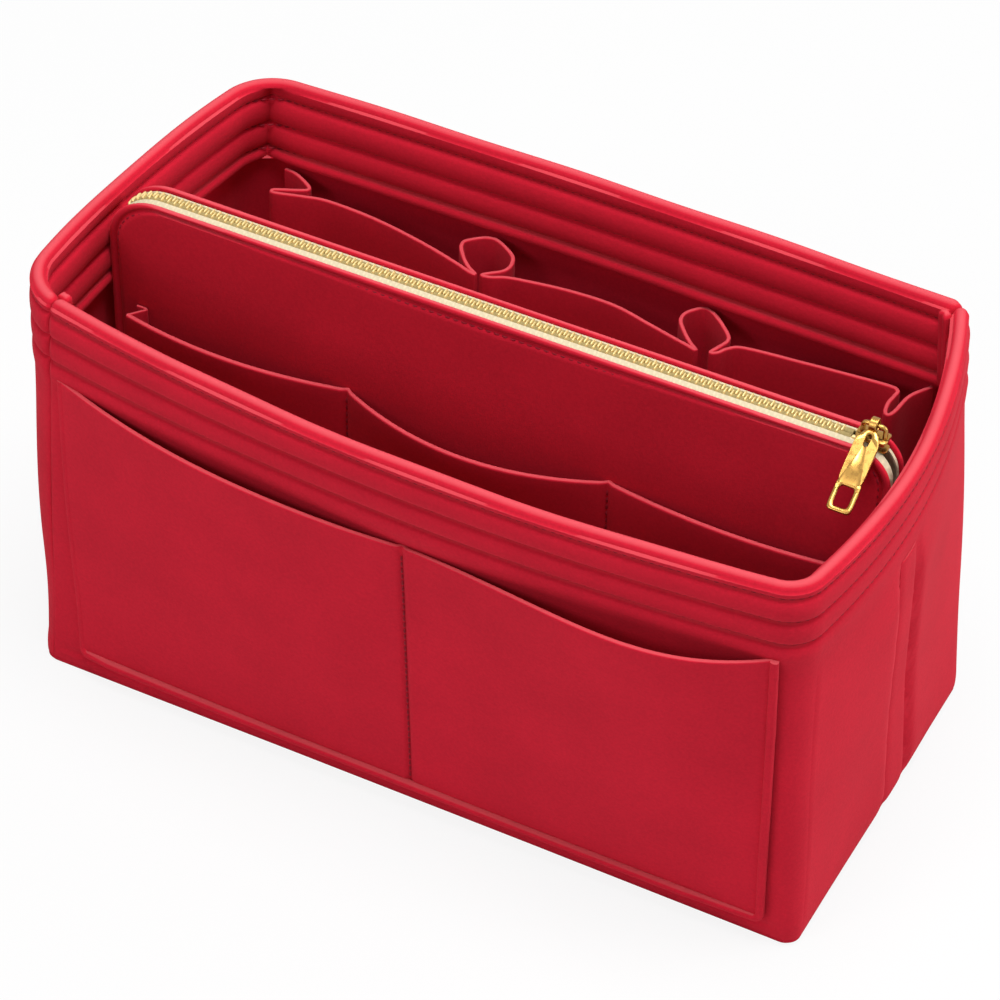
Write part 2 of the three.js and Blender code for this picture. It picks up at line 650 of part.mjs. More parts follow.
// One compartment of the pocket on the pouch's front: it gapes forwards at the mouth
function pouchPocket(from, to, gape) {
  return sheet(PANEL_STEPS, DROP_STEPS, (a, b, face) => {
    const s = 2 * a - 1;
    const off = GAP + gape * (1 - s * s) * b + face * POCKET_FELT;
    const z = lerp(POUCH_POCKET_BOTTOM, pouchPocketTop, b);
    return new THREE.Vector3(lerp(from, to, a), POUCH_FRONT_Y - off, z);
  });
}

// Felt strip closing the pouch between its panels, along the bottom or up one end
function pouchGusset(path) {
  const inner = path.map((point) => {
    const centreX = THREE.MathUtils.clamp(point.x, pouchLeft + POUCH_BOTTOM_CORNER,
      pouchRight - POUCH_BOTTOM_CORNER);
    const centre = new THREE.Vector2(centreX, Math.max(pouchSideFoot, point.y));
    const inward = centre.sub(point).normalize();
    return point.clone().addScaledVector(inward, POCKET_FELT);
  });
  const rings = path.map((p, i) => [
    new THREE.Vector3(p.x, innerFrontY, p.y),
    new THREE.Vector3(p.x, innerBackY, p.y),
    new THREE.Vector3(inner[i].x, innerBackY, inner[i].y),
    new THREE.Vector3(inner[i].x, innerFrontY, inner[i].y),
  ]);
  return loft(rings, [[0, 0], [1, 0], [1, 1], [0, 1]].map((p) => new THREE.Vector2(...p)));
}

function bottomPath() {
  const path = [];
  [[pouchLeft + POUCH_BOTTOM_CORNER, 1], [pouchRight - POUCH_BOTTOM_CORNER, 1.5]].forEach(([x, turn]) => {
    for (let i = 0; i <= CORNER_STEPS; i += 1) {
      const angle = Math.PI * (turn + (0.5 * i) / CORNER_STEPS);
      path.push(new THREE.Vector2(x + POUCH_BOTTOM_CORNER * Math.cos(angle),
        pouchSideFoot + POUCH_BOTTOM_CORNER * Math.sin(angle)));
    }
  });
  return path;
}

const gussetFoot = pouchSideFoot + GAP;
function endPath(x, { radius }) {
  const top = zipMiddleZ - radius - ZIP_TAIL - GAP;
  return [new THREE.Vector2(x, gussetFoot), new THREE.Vector2(x, top)];
}

addPiece(pouch, 'pouch_front_panel', pouchPanel(POUCH_FRONT_Y), felt(pouchRed));
addPiece(pouch, 'pouch_back_panel', pouchPanel(pouchBackY - POCKET_FELT), felt(pouchRed));
addPiece(pouch, 'pouch_bottom_gusset', pouchGusset(bottomPath()), felt(pouchRed));
addPiece(pouch, 'pouch_left_gusset', pouchGusset(endPath(pouchLeft, zipLeft)), felt(pouchRed));
addPiece(pouch, 'pouch_right_gusset', pouchGusset(endPath(pouchRight, zipRight)), felt(pouchRed));

const pocketLeft = pouchLeft + POUCH_POCKET_INSET;
const pocketRight = pouchRight - POUCH_POCKET_INSET;
const halfGap = GAP / 2;
addPiece(pouch, 'pouch_pocket_left', pouchPocket(pocketLeft, POUCH_DIVISION_LEFT_X - halfGap,
  POUCH_GAPE_LEFT), felt(pouchRed));
addPiece(pouch, 'pouch_pocket_middle', pouchPocket(POUCH_DIVISION_LEFT_X + halfGap,
  POUCH_DIVISION_RIGHT_X - halfGap, POUCH_GAPE_MIDDLE), felt(pouchRed));
addPiece(pouch, 'pouch_pocket_right', pouchPocket(POUCH_DIVISION_RIGHT_X + halfGap, pocketRight,
  POUCH_GAPE_RIGHT), felt(pouchRed));

const tapeFrontEdge = chainY - chainHalf - GAP;
const tapeBackEdge = chainY + chainHalf + GAP;
addPiece(pouch, 'zip_tape_front', zipBand(tapeStart, tapeEnd, innerFrontY, tapeFrontEdge,
  TAPE_THICKNESS), felt(cream));
addPiece(pouch, 'zip_tape_back', zipBand(tapeStart, tapeEnd, tapeBackEdge, innerBackY,
  TAPE_THICKNESS), felt(cream));

const chainStart = -zipLeft.end;
const chainEnd = zipRight.straight - STOP_LENGTH - GAP;
addPiece(pouch, 'zip_teeth_front', teethRow(-1, chainStart, chainEnd), brass(gold));
addPiece(pouch, 'zip_teeth_back', teethRow(1, chainStart, chainEnd), brass(gold));
addPiece(pouch, 'zip_bottom_stop', zipBand(chainStart - GAP - STOP_LENGTH, chainStart - GAP,
  chainY - chainHalf, chainY + chainHalf, CHAIN_THICKNESS), brass(gold));
[['front', -1], ['back', 1]].forEach(([name, side]) => {
  const ys = [chainY + side * chainHalf, chainY + side * (chainHalf - TOOTH_ROOT)];
  addPiece(pouch, `zip_top_stop_${name}`, zipBand(chainEnd + GAP, chainEnd + GAP + STOP_LENGTH,
    Math.min(...ys), Math.max(...ys), CHAIN_THICKNESS), brass(gold));
});

// Slider, parked at the right end of the closed zip: it rides the chain along X
const sliderX = pouchX + zipRight.straight + SLIDER_PAST_STOP;
const plateLow = zipMiddleZ + CHAIN_THICKNESS / 2 + SLIDER_CLEARANCE;
const plateHigh = plateLow + SLIDER_PLATE;
const flangeLow = zipMiddleZ + TAPE_THICKNESS / 2 + SLIDER_CLEARANCE;
const channelHalf = chainHalf + SLIDER_CLEARANCE;

function sliderTop() {
  const shares = [-1, -0.5, 0, 0.5, 1];
  const section = (width) => [
    [-width, flangeLow], [-channelHalf, flangeLow], [-channelHalf, plateLow],
    [channelHalf, plateLow], [channelHalf, flangeLow], [width, flangeLow],
    [width, plateHigh], [-width, plateHigh],
  ];
  const wide = channelHalf + SLIDER_FLANGE;
  const rings = shares.map((share) => {
    const width = wide - SLIDER_NECK * (1 - share * share);
    return section(width).map(([y, z]) => {
      return new THREE.Vector3(sliderX + (share * SLIDER_LENGTH) / 2, chainY + y, z);
    });
  });
  return loft(rings, section(wide).map((p) => new THREE.Vector2(...p)));
}

function sliderBottom() {
  const high = zipMiddleZ - CHAIN_THICKNESS / 2 - SLIDER_CLEARANCE;
  const plate = new THREE.BoxGeometry(SLIDER_LENGTH, CHAIN_WIDTH, SLIDER_PLATE);
  return plate.translate(sliderX, chainY, high - SLIDER_PLATE / 2);
}

const bailZ = plateHigh + BAIL_RISE;
function sliderBail() {
  const half = BAIL_WIRE / 2;
  const arch = new THREE.Shape();
  const outer = BAIL_HALF_LENGTH + half;
  const inner = BAIL_HALF_LENGTH - half;
  arch.moveTo(-outer, plateHigh);
  arch.lineTo(-outer, bailZ);
  arch.lineTo(-inner, bailZ + half);
  arch.lineTo(inner, bailZ + half);
  arch.lineTo(outer, bailZ);
  arch.lineTo(outer, plateHigh);
  arch.lineTo(inner, plateHigh);
  arch.lineTo(inner, bailZ - half);
  arch.lineTo(-inner, bailZ - half);
  arch.lineTo(-inner, plateHigh);
  const wire = new THREE.ExtrudeGeometry(arch, { depth: BAIL_WIRE, bevelEnabled: false });
  wire.rotateX(Math.PI / 2);
  return wire.translate(sliderX, chainY + half, 0);
}

addPiece(slider, 'slider_top_plate', sliderTop(), brass(gold));
addPiece(slider, 'slider_bottom_plate', sliderBottom(), brass(gold));
addPiece(slider, 'slider_bail', sliderBail(), brass(gold));

// Closed geometry as a solid that can be joined and cut
function solidOf(geometry) {
  geometry.deleteAttribute('normal');
  geometry.deleteAttribute('uv');
  const merged = mergeVertices(geometry, 1e-4);
  return new wasm.Manifold(new wasm.Mesh({
    numProp: 3,
    vertProperties: Float32Array.from(merged.attributes.position.array),
    triVerts: Uint32Array.from(merged.index.array),
  }));
}

function geometryOf(solid) {
  const mesh = solid.getMesh();
  const geometry = new THREE.BufferGeometry();
  geometry.setAttribute('position', new THREE.BufferAttribute(mesh.vertProperties, 3));
  geometry.setIndex(new THREE.BufferAttribute(mesh.triVerts, 1));
  return geometry;
}

// Pull tab hanging along -Z from the origin, with its eye round the X axis
function tabSolid() {
  const eyeInner = (BAIL_WIRE / 2) * Math.SQRT2 + TAB_EYE_CLEARANCE;
  const eyeOuter = eyeInner + TAB_EYE_WALL;
  const eye = new THREE.Shape().absarc(0, 0, eyeOuter, 0, 2 * Math.PI);
  eye.holes.push(new THREE.Path().absarc(0, 0, eyeInner, 0, 2 * Math.PI));
  const ring = new THREE.ExtrudeGeometry(eye, {
    depth: TAB_EYE_WIDTH, bevelEnabled: false, curveSegments: CORNER_STEPS,
  });
  ring.translate(0, 0, -TAB_EYE_WIDTH / 2);
  ring.rotateY(Math.PI / 2);
  const neck = TAB_NECK_WIDTH / 2;
  const wide = TAB_WIDTH / 2;
  const start = -(eyeInner + TAB_EYE_WALL / 2);
  const shoulder = start - TAB_NECK_WIDTH;
  const chamfer = TAB_RAIL;
  const plate = new THREE.Shape();
  plate.moveTo(-neck, start);
  plate.lineTo(-wide, shoulder);
  plate.lineTo(-wide, -TAB_LENGTH + chamfer);
  plate.lineTo(-wide + chamfer, -TAB_LENGTH);
  plate.lineTo(wide - chamfer, -TAB_LENGTH);
  plate.lineTo(wide, -TAB_LENGTH + chamfer);
  plate.lineTo(wide, shoulder);
  plate.lineTo(neck, start);
  const flat = new THREE.ExtrudeGeometry(plate, { depth: TAB_THICKNESS, bevelEnabled: false });
  flat.translate(0, 0, -TAB_THICKNESS / 2);
  flat.rotateX(Math.PI / 2);
  const hole = (width, length, low) => solidOf(new THREE.BoxGeometry(width, TAB_WIDTH, length)
    .translate(0, 0, low + length / 2));
  const slotLow = -eyeOuter - TAB_EYE_WALL - TAB_SLOT_LENGTH;
  return geometryOf(solidOf(ring)
    .add(solidOf(flat))
    .subtract(hole(TAB_WINDOW_WIDTH, TAB_WINDOW_LENGTH, -TAB_LENGTH + TAB_RAIL))
    .subtract(hole(TAB_SLOT_WIDTH, TAB_SLOT_LENGTH, slotLow)));
}

pullTab.position.set(sliderX, chainY, bailZ);
pullTab.rotation.x = TAB_DROOP - Math.PI / 2;
addPiece(pullTab, 'pull_tab', tabSolid(), brass(gold));

slider.add(pullTab);
pouch.add(slider);
box.add(pouch);

export default box;
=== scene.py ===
"""Felt purse organizer insert: a felt box with a rolled rim, pockets, pen loops and a zipped pouch."""

import math

import bmesh
import bpy
import numpy as np
from mathutils import Matrix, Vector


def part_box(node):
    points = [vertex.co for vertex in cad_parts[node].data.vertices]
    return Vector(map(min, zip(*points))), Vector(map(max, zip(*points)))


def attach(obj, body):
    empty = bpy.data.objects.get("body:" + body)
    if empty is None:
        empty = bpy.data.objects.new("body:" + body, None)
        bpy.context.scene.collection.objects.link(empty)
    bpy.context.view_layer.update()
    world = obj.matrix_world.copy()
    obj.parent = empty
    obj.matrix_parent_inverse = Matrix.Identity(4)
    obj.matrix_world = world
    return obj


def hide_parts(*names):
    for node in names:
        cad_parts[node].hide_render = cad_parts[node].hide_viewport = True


bl_info = {
    "name": "Felt purse organizer",
    "version": (1, 0, 0),
    "blender": (4, 5, 0),
    "location": "3D View > Sidebar > Organizer",
    "description": "Builds the felt, stitching and zip of a purse organizer insert",
    "category": "Object",
}

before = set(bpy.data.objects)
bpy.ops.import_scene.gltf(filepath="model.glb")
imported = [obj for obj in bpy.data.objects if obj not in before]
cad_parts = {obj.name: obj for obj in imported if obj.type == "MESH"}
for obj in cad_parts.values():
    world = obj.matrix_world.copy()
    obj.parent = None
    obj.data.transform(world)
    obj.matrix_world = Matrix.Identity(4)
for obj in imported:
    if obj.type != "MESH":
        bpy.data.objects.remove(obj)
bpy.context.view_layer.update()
MM = 0.001


def linear(hex_colour):
    """Linear RGBA of an sRGB hex colour."""
    values = np.array([int(hex_colour[i : i + 2], 16) for i in (1, 3, 5)]) / 255
    low, high = values / 12.92, ((values + 0.055) / 1.055) ** 2.4
    return (*np.where(values <= 0.04045, low, high).tolist(), 1.0)


def length(name, description, millimetres):
    """A length in metres whose default is given in millimetres."""
    return bpy.props.FloatProperty(
        name=name, description=description, default=millimetres * MM, min=0.0, unit="LENGTH", precision=5
    )


def colour(name, description, hex_colour):
    """A colour whose default is given as an sRGB hex value."""
    return bpy.props.FloatVectorProperty(
        name=name, description=description, default=linear(hex_colour), size=4, min=0.0, max=1.0,
        subtype="COLOR"
    )


class OrganizerSizes(bpy.types.PropertyGroup):
    """Sizes of the felt box, the pouch and the zip"""

    base_length: length("Base length", "Outside of the end walls at the floor", 306)
    base_depth: length("Base depth", "Outside of the long walls at the floor", 148.6)
    base_corner: length("Base corner", "Outside radius of the floor's corners", 6)
    box_height: length("Height", "Floor to the top of the rim", 174.5)
    rim_thickness: length("Rim thickness", "Width of the rolled rim", 5.2)
    wall_felt: length("Wall felt", "Thickness of the wall and base felt", 2.6)
    pocket_felt: length("Pocket felt", "Thickness of the outer pocket and pouch felt", 2)
    strip_felt: length("Strip felt", "Thickness of the back pocket strip and the pen loops", 1.6)
    hem_depth: length("Hem depth", "Rim top to the hem's free edge inside", 35.5)
    stitch_pitch: length("Stitch pitch", "Length of one stitch and its gap", 3.1)
    outer_mouth: length("Outer pocket mouth", "Floor to the outer pocket's cut edge", 142.5)
    strip_top: length("Back pocket top", "Floor to the top of the back pockets", 137)
    pouch_front: length("Pouch front", "Distance of the pouch's front face in front of the middle", 17.9)
    pouch_thickness: length("Pouch thickness", "Outside of the pouch's two panels", 13)
    pouch_top: length("Pouch top", "Floor to the pouch's top edge", 180.5)
    pouch_left_corner: length("Pouch left corner", "Radius of the pouch's upper left corner", 20)
    pouch_right_corner: length("Pouch right corner", "Radius of the pouch's upper right corner", 14)
    pouch_foot_corner: length("Pouch foot corner", "Radius of the pouch's lower corners", 14)
    pouch_pocket_top: length("Pouch pocket top", "Floor to the pouch pocket's cut edge", 130.5)
    tape_width: length("Tape width", "Front tape between the panel and the teeth", 2.5)
    chain_width: length("Chain width", "Width of the closed teeth", 4.6)
    tooth_pitch: length("Tooth pitch", "Spacing of the zip's teeth", 2.54)
    tab_length: length("Tab length", "Bail to the tab's free end", 32)
    tab_width: length("Tab width", "Width of the pull tab", 8.6)


class OrganizerColours(bpy.types.PropertyGroup):
    """Colours of the felt, the tape, the thread and the metal"""

    wall_felt: colour("Wall felt", "Red felt of the walls and the base", "#C01C30")
    pocket_felt: colour("Pocket felt", "Red felt of the pockets", "#C01C30")
    pouch_felt: colour("Pouch felt", "Red felt of the pouch", "#C01C30")
    # The thread is darker than the felt; part of that darkness is painted shade of the stitch grooves.
    thread: colour("Thread", "Sewing thread", "#8E1526")
    tape: colour("Zip tape", "Cream woven tape", "#CABD9F")
    # The cord's darker tan than the tape is partly painted shade between the teeth, where the cord shows.
    cord: colour("Zip cord", "Tan edge of the tape under the teeth", "#988658")
    brass: colour("Brass", "Gold-coloured slider and tab", "#AA8244")
    teeth: colour("Teeth", "Paler gold of the zip's teeth and stops", "#DDC992")
    floor: colour("Floor", "Pale studio floor", "#CFCFCF")


# Places in the frame, in metres: the box's corners run from the front left counter-clockwise
GAP = 0.3 * MM
RIM_CORNERS = np.array([(-153.0, -71.0), (148.5, -81.0), (138.0, 74.0), (-144.0, 76.0)]) * MM
RIM_RADII = np.array([22.0, 12.0, 6.0, 19.0]) * MM
RIM_BOWS = np.array([11.5, 11.0, 2.0, 3.3]) * MM
SEAMS = {"front_left_seam": -0.06, "back_right_seam": 3.5}
FOLDED_CORNERS = (1.5, 5.36)
OUTER_ROWS = np.array([5.6, 15.8, 26.0]) * MM
INNER_ROWS = np.array([7.9, 19.7, 30.6]) * MM
POCKET_ENDS = np.array([-132.0, 4.4, 139.0]) * MM
POCKET_GAPES = np.array([5.0, 9.1]) * MM
POCKET_DROOPS = np.array([0.9, 2.0]) * MM
SEAM_DROP = 5.5 * MM
SEAM_LEAN = np.array([-0.8, 2.6]) * MM
POCKET_BOTTOM = 13.6 * MM
STRIP_BOTTOM, STRIP_TURN = 12 * MM, 60 * MM
LOOP_BACKS = np.array([-41.3, 43.2]) * MM
DIVISIONS = np.array([-51.5, 50.0]) * MM
POUCH_GAPES = np.array([6.0, 12.5, 4.0]) * MM
POUCH_POCKET_RISE = 4.5 * MM
POUCH_POCKET_BOTTOM, POUCH_POCKET_OFF = 14 * MM, 1.3 * MM
PLEAT_BOTTOM = 70 * MM
GUSSET_INSET = 1.4 * MM
TAPE_TAIL = 14 * MM
CHAIN_SHORT = 3.3 * MM
BAIL_HALF = 0.8 * MM
FOOT_TURN, FOOT_TURN_TALL = 0.9 * MM, 9 * MM
HEM_SWELL = 1.65 * MM
ROW_DEPTH = 0.45
END_STRIP_HALF = np.array([9.4, 6.8]) * MM
END_STRIP_PLACE = np.array([10.0, -11.0]) * MM
FLOOR_CLEAR = 5 * MM

# Stage: each light's place, the height it is aimed at, its size and its power; the camera's turn, lift
# and roll in degrees
WHITE = (1.0, 1.0, 1.0, 1.0)
FLOOR_REACH = 6.0
LIGHTS = {
    "right_softbox": ((1.65, 0.85, 0.9), 0.08, 1.3, 20),
    "top_softbox": ((0.2, -0.12, 2.05), 0.08, 1.0, 44),
    "front_softbox": ((-0.75, -1.75, 1.25), 0.1, 1.0, 13),
}
SKY_FILL = 0.3
CAMERA_ANGLES = (26.76, 42.31, 1.02)
CAMERA_PLACE = np.array([472.02, -938.68, 1040.86]) * MM
SENSOR_WIDTH, LENS, CLIP_END = 36.0, 144.0, 50.0


def sizes():
    """The sizes that the operators work from."""
    return bpy.context.scene.organizer_sizes


def colours():
    """The colours that the materials work from."""
    return bpy.context.scene.organizer_colours


def lerp(a, b, t):
    """Straight mix of a and b at share t."""
    return a + (b - a) * t


def eased(count):
    """Shares from 0 to 1 that lie closer together at both ends."""
    return (1 - np.cos(np.linspace(0, math.pi, count))) / 2


def bell(value, width):
    """Smooth hump of height one about zero."""
    return np.exp(-((value / width) ** 2))


def ramp(value, length):
    """Share from 0 to 1 that grows with a value over a length."""
    return np.clip(value / length, 0, 1)


def circle(count):
    """Angles evenly round a full turn."""
    return np.linspace(0, 2 * math.pi, count, endpoint=False)


def quarter(count):
    """Angles from zero to a quarter turn."""
    return np.linspace(0, math.pi / 2, count)


def superellipse(angle, power):
    """Cosine and sine of angles, stretched so that the circle becomes a rounded square."""
    c, s = np.cos(angle), np.sin(angle)
    stretch = (np.abs(c) ** power + np.abs(s) ** power) ** (-1 / power)
    return c * stretch, s * stretch


def unit(vectors):
    """Vectors of length one."""
    return vectors / np.maximum(np.linalg.norm(vectors, axis=-1, keepdims=True), 1e-12)


def run_along(line):
    """Length along a line of points, from its start to each of them."""
    return np.concatenate([[0.0], np.cumsum(np.linalg.norm(np.diff(line, axis=0), axis=1))])


# Meshes


def swept(rings, closed=False):
    """Tube through rings of equal length, in order; its two ends are closed unless it goes round."""
    count, size = rings.shape[:2]
    i = np.arange(count if closed else count - 1)[:, None]
    j = np.arange(size)[None, :]
    k, n = (j + 1) % size, (i + 1) % count
    quads = np.stack([i * size + j, i * size + k, n * size + k, n * size + j], axis=-1)
    faces = quads.reshape(-1, 4).tolist()
    if not closed:
        faces.append(list(range(size))[::-1])
        faces.append(list(range((count - 1) * size, count * size)))
    return rings.reshape(-1, 3), faces


def joined(parts):
    """One list of points and faces from several."""
    points, faces, start = [], [], 0
    for vertices, polygons in parts:
        points.append(vertices)
        faces.extend([[start + i for i in face] for face in polygons])
        start += len(vertices)
    return np.concatenate(points), faces


def put_piece(name, parts, finish, body, nodes=(), crease=40):
    """Makes a smooth-shaded mesh piece with outward faces that rides on a body and replaces CAD nodes."""
    vertices, faces = joined(parts)
    mesh = bpy.data.meshes.new(name)
    mesh.from_pydata(vertices.tolist(), [], faces)
    shape = bmesh.new()
    shape.from_mesh(mesh)
    bmesh.ops.recalc_face_normals(shape, faces=shape.faces)
    shape.to_mesh(mesh)
    shape.free()
    mesh.materials.append(finish_of(finish))
    piece = bpy.data.objects.new(name, mesh)
    bpy.context.scene.collection.objects.link(piece)
    mesh.polygons.foreach_set("use_smooth", np.ones(len(mesh.polygons), dtype=bool))
    mesh.set_sharp_from_angle(angle=math.radians(crease))
    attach(piece, body)
    if nodes:
        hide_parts(*nodes)
    return piece


def repeated(points, rings, sides):
    """Copies of one tube, from the points of each copy in order of its rings and sides."""
    one = swept(np.zeros((rings, sides, 3)))[1]
    faces = [[i + rings * sides * c for i in face] for c in range(len(points)) for face in one]
    return points.reshape(-1, 3), faces


def stitches(line, outward, share=0.74, radius=0.34 * MM):
    """Row of sewn stitches along a line: each is a short six-sided thread that dips at both ends."""
    run, outward = run_along(line), np.broadcast_to(outward, line.shape)
    count = max(int(run[-1] / sizes().stitch_pitch), 1)
    pitch = run[-1] / count
    half = share * pitch / 2
    middle = (np.arange(count) + 0.5) * pitch

    def at(values, r):
        return np.stack([np.interp(r, run, values[:, c]) for c in range(3)], axis=-1)

    tangent = unit(at(line, middle + half) - at(line, middle - half))
    normal = at(outward, middle)
    normal = unit(normal - tangent * (normal * tangent).sum(axis=-1, keepdims=True))
    along = np.array([-1.0, -0.62, 0.0, 0.62, 1.0])[:, None]
    girth = np.array([0.4, 0.9, 1.0, 0.9, 0.4])[:, None] * radius
    crown, dip = 0.55, 0.95
    rise = (crown - dip * along**2) * radius
    angle = circle(6)[None, :]
    spots = np.broadcast_arrays(along * half, girth * np.cos(angle), girth * np.sin(angle) + rise)
    template = np.stack(spots, axis=-1).reshape(-1, 3)
    axes = np.stack([tangent, np.cross(tangent, normal), normal], axis=1)
    points = at(line, middle)[:, None, :] + np.einsum("mk,ckd->cmd", template, axes)
    return repeated(points, along.size, angle.size)


def smooth_path(knots, count):
    """Rounded line through points: Catmull-Rom pieces, sampled evenly along their length."""
    p = np.concatenate([[2 * knots[0] - knots[1]], knots, [2 * knots[-1] - knots[-2]]])
    t = np.linspace(0, 1, 24, endpoint=False)[None, :, None]
    a, b, c, d = (p[i : len(p) - 3 + i, None, :] for i in range(4))
    line = 2 * b + (c - a) * t + (2 * a - 5 * b + 4 * c - d) * t**2 + (3 * b - 3 * c + d - a) * t**3
    line = np.concatenate([line.reshape(-1, 2) / 2, knots[-1:]])
    run = run_along(line)
    even = np.linspace(0, run[-1], count)
    return np.stack([np.interp(even, run, line[:, i]) for i in (0, 1)], axis=-1)


def sideways(line):
    """Directions at right angles to a plane line, to its left."""
    along = unit(np.gradient(line, axis=0))
    return np.stack([-along[:, 1], along[:, 0]], axis=-1)


def u_line(sides, foot, ends, radius, counts, way=1):
    """Line down one side, along the foot and up the other side, with round corners.

    counts are the points up a side, along the foot and round a corner. A way of -1 turns it over.
    """
    left, right = sides
    up, along, corner = counts
    turn = quarter(corner)
    start, rise = foot + way * radius, way * radius
    middle = np.linspace(left + radius, right - radius, along)[1:-1]
    bends = left + radius * (1 - np.cos(turn)), right - radius * (1 - np.sin(turn))
    x = np.concatenate([np.full(up, left), bends[0], middle, bends[1], np.full(up, right)])
    rises = np.linspace(ends[0], start, up + 1)[:-1], np.linspace(start, ends[1], up + 1)[1:]
    bends = start - rise * np.sin(turn), start - rise * np.cos(turn)
    z = np.concatenate([rises[0], bends[0], np.full(middle.size, foot), bends[1], rises[1]])
    return np.stack([x, z], axis=-1)


def felt_loop(low, high, inner, thickness, levels):
    """Section of a felt sheet on edge: up one face, round the cut edge, down the other face and round.

    low and high are heights per station, inner gives the first face's offset per station at shares
    of the height. The cut edges are flat with rounded corners, as a superellipse.
    """
    share = np.linspace(0, 1, levels)
    half, power = thickness / 2, 0.6
    arc = np.linspace(0, math.pi, 9)[1:-1]
    across, rise = np.sign(np.cos(arc)) * np.abs(np.cos(arc)) ** power, np.sin(arc) ** power
    first, last = inner(np.zeros(1)), inner(np.ones(1))
    up = lerp(low[:, None], high[:, None], share[None, :])
    over = last + half - half * across
    under = first + half + half * across
    n = np.concatenate([inner(share), over, inner(share)[:, ::-1] + thickness, under], axis=1)
    top, foot = high[:, None] + half * rise, low[:, None] - half * rise
    return n, np.concatenate([up, top, up[:, ::-1], foot], axis=1)


def felt_ribbon(line, low, high, felt, levels):
    """Felt band on edge along a plan line: the two plan places and the heights of its sections."""
    count, normal = len(line), sideways(line)
    lows, highs = np.full(count, low), np.full(count, high)
    n, z = felt_loop(lows, highs, lambda b: np.full((count, b.size), -felt / 2), felt, levels)
    return line[:, 0:1] + n * normal[:, 0:1], line[:, 1:2] + n * normal[:, 1:2], z


# Felt box


def plan_sides(corners, radii, bows):
    """Plan outline with bowed sides between corner circles, each with its own radius.

    A side runs straight from reach to reach and bows out by one minus s squared, and the corner
    arcs begin and end at the tilts of the sides.
    """
    centres = corners - np.sign(corners) * radii[:, None]
    sides = []
    for i, bow in enumerate(bows):
        facing = (i - 1) * math.pi / 2
        normal = np.round([math.cos(facing), math.sin(facing)])
        tangent = np.array([-normal[1], normal[0]])
        pair = [i, (i + 1) % 4]
        tilts = np.zeros(2)
        for _ in range(14):
            runs = centres[pair] @ tangent + radii[pair] * np.sin(tilts) * np.array([-1, 1])
            reaches = centres[pair] @ normal + radii[pair] * np.cos(tilts)
            half, slant = (runs[1] - runs[0]) / 2, (reaches[1] - reaches[0]) / 2
            tilts = np.arctan((2 * bow + slant * np.array([1, -1])) / half)
        sides.append((normal, tangent, facing, bow, runs, reaches, tilts))
    return centres, radii, sides


def plan_at(plan, u):
    """Points of a plan outline; u runs from 0 to 8 round the box from the front left."""
    centres, radii, sides = plan
    turn = np.mod(u, 8)
    index = np.minimum(np.floor(turn / 2).astype(int), 3)
    along = turn - 2 * index
    result = np.zeros(u.shape + (2,))
    for i, (normal, tangent, facing, bow, runs, reaches, tilts) in enumerate(sides):
        here = index == i
        a = np.minimum(along[here], 1)
        reach = lerp(reaches[0], reaches[1], a) + bow * (1 - (2 * a - 1) ** 2)
        straight = reach[:, None] * normal + lerp(runs[0], runs[1], a)[:, None] * tangent
        following = (i + 1) % 4
        first, last = facing + tilts[1], facing + math.pi / 2 - sides[following][6][0]
        angle = lerp(first, last, np.maximum(along[here] - 1, 0))
        arm = np.stack([np.cos(angle), np.sin(angle)], axis=-1)
        arc = centres[following] + radii[following] * arm
        result[here] = np.where((along[here] > 1)[:, None], arc, straight)
    return result


class Walls:
    """Ruled wall surface of the box between its floor outline and its rim outline."""

    def __init__(self):
        s = sizes()
        self.half = s.rim_thickness / 2
        self.inside = self.half - s.wall_felt
        self.top = s.box_height
        self.rim_level = s.box_height - self.half
        self.hem_edge = s.box_height - s.hem_depth
        x, y = s.base_length / 2 - self.half, s.base_depth / 2 - self.half
        corners = np.array([(-x, -y), (x, -y), (x, y), (-x, y)])
        self.floor = plan_sides(corners, np.full(4, s.base_corner - self.half), np.zeros(4))
        self.rim = plan_sides(RIM_CORNERS, RIM_RADII, RIM_BOWS)

    def share(self, z):
        """Share of the way from the floor outline to the rim outline at a height."""
        return ramp(z, self.rim_level)

    def plan(self, u, t):
        """Middle of the wall in plan at u and share t."""
        return lerp(plan_at(self.floor, u), plan_at(self.rim, u), t[..., None])

    def normal(self, u, z):
        """Outward direction in plan, from points a little to each side of u."""
        u, z = np.broadcast_arrays(np.asarray(u, float), np.asarray(z, float))
        t = self.share(z)
        step = 0.004
        along = unit(self.plan(u + step, t) - self.plan(u - step, t))
        return np.stack([along[..., 1], -along[..., 0], np.zeros(u.shape)], axis=-1)

    def point(self, u, z, n):
        """Point at u and height z, n outwards from the middle of the rim."""
        u, z, n = np.broadcast_arrays(*(np.asarray(v, float) for v in (u, z, n)))
        middle = self.plan(u, self.share(z))
        return np.concatenate([middle, z[..., None]], axis=-1) + n[..., None] * self.normal(u, z)

    def side_u(self, side, run, z):
        """u of a run along one side, which may go on round the corners."""
        run, z = np.broadcast_arrays(np.asarray(run, float), np.asarray(z, float))
        t = self.share(z)
        first, last = (lerp(self.floor[2][side][4][i], self.rim[2][side][4][i], t) for i in (0, 1))
        ends = (side, (side + 1) % 4)
        before, after = ((lerp(self.floor[1][c], self.rim[1][c], t) + self.half) for c in ends)
        on = 2 * side + (run - first) / (last - first)
        on = np.where(run > last, 2 * side + 1 + (run - last) / (after * math.pi / 2), on)
        return np.where(run < first, 2 * side - (first - run) / (before * math.pi / 2), on)

    def rim_run(self, u):
        """Length along the rim from the first u to each of the others."""
        return run_along(plan_at(self.rim, u))

    def run_at(self, u):
        """Length along the rim to u, for waves that keep their size round the corners."""
        table = np.linspace(-2, 10, 3000)
        return np.interp(u, table, self.rim_run(table))

    def back_inside(self, x, z):
        """Y of the back wall's inner face at x."""
        return self.point(self.side_u(2, -x, z), z, self.inside)[..., 1] - GAP


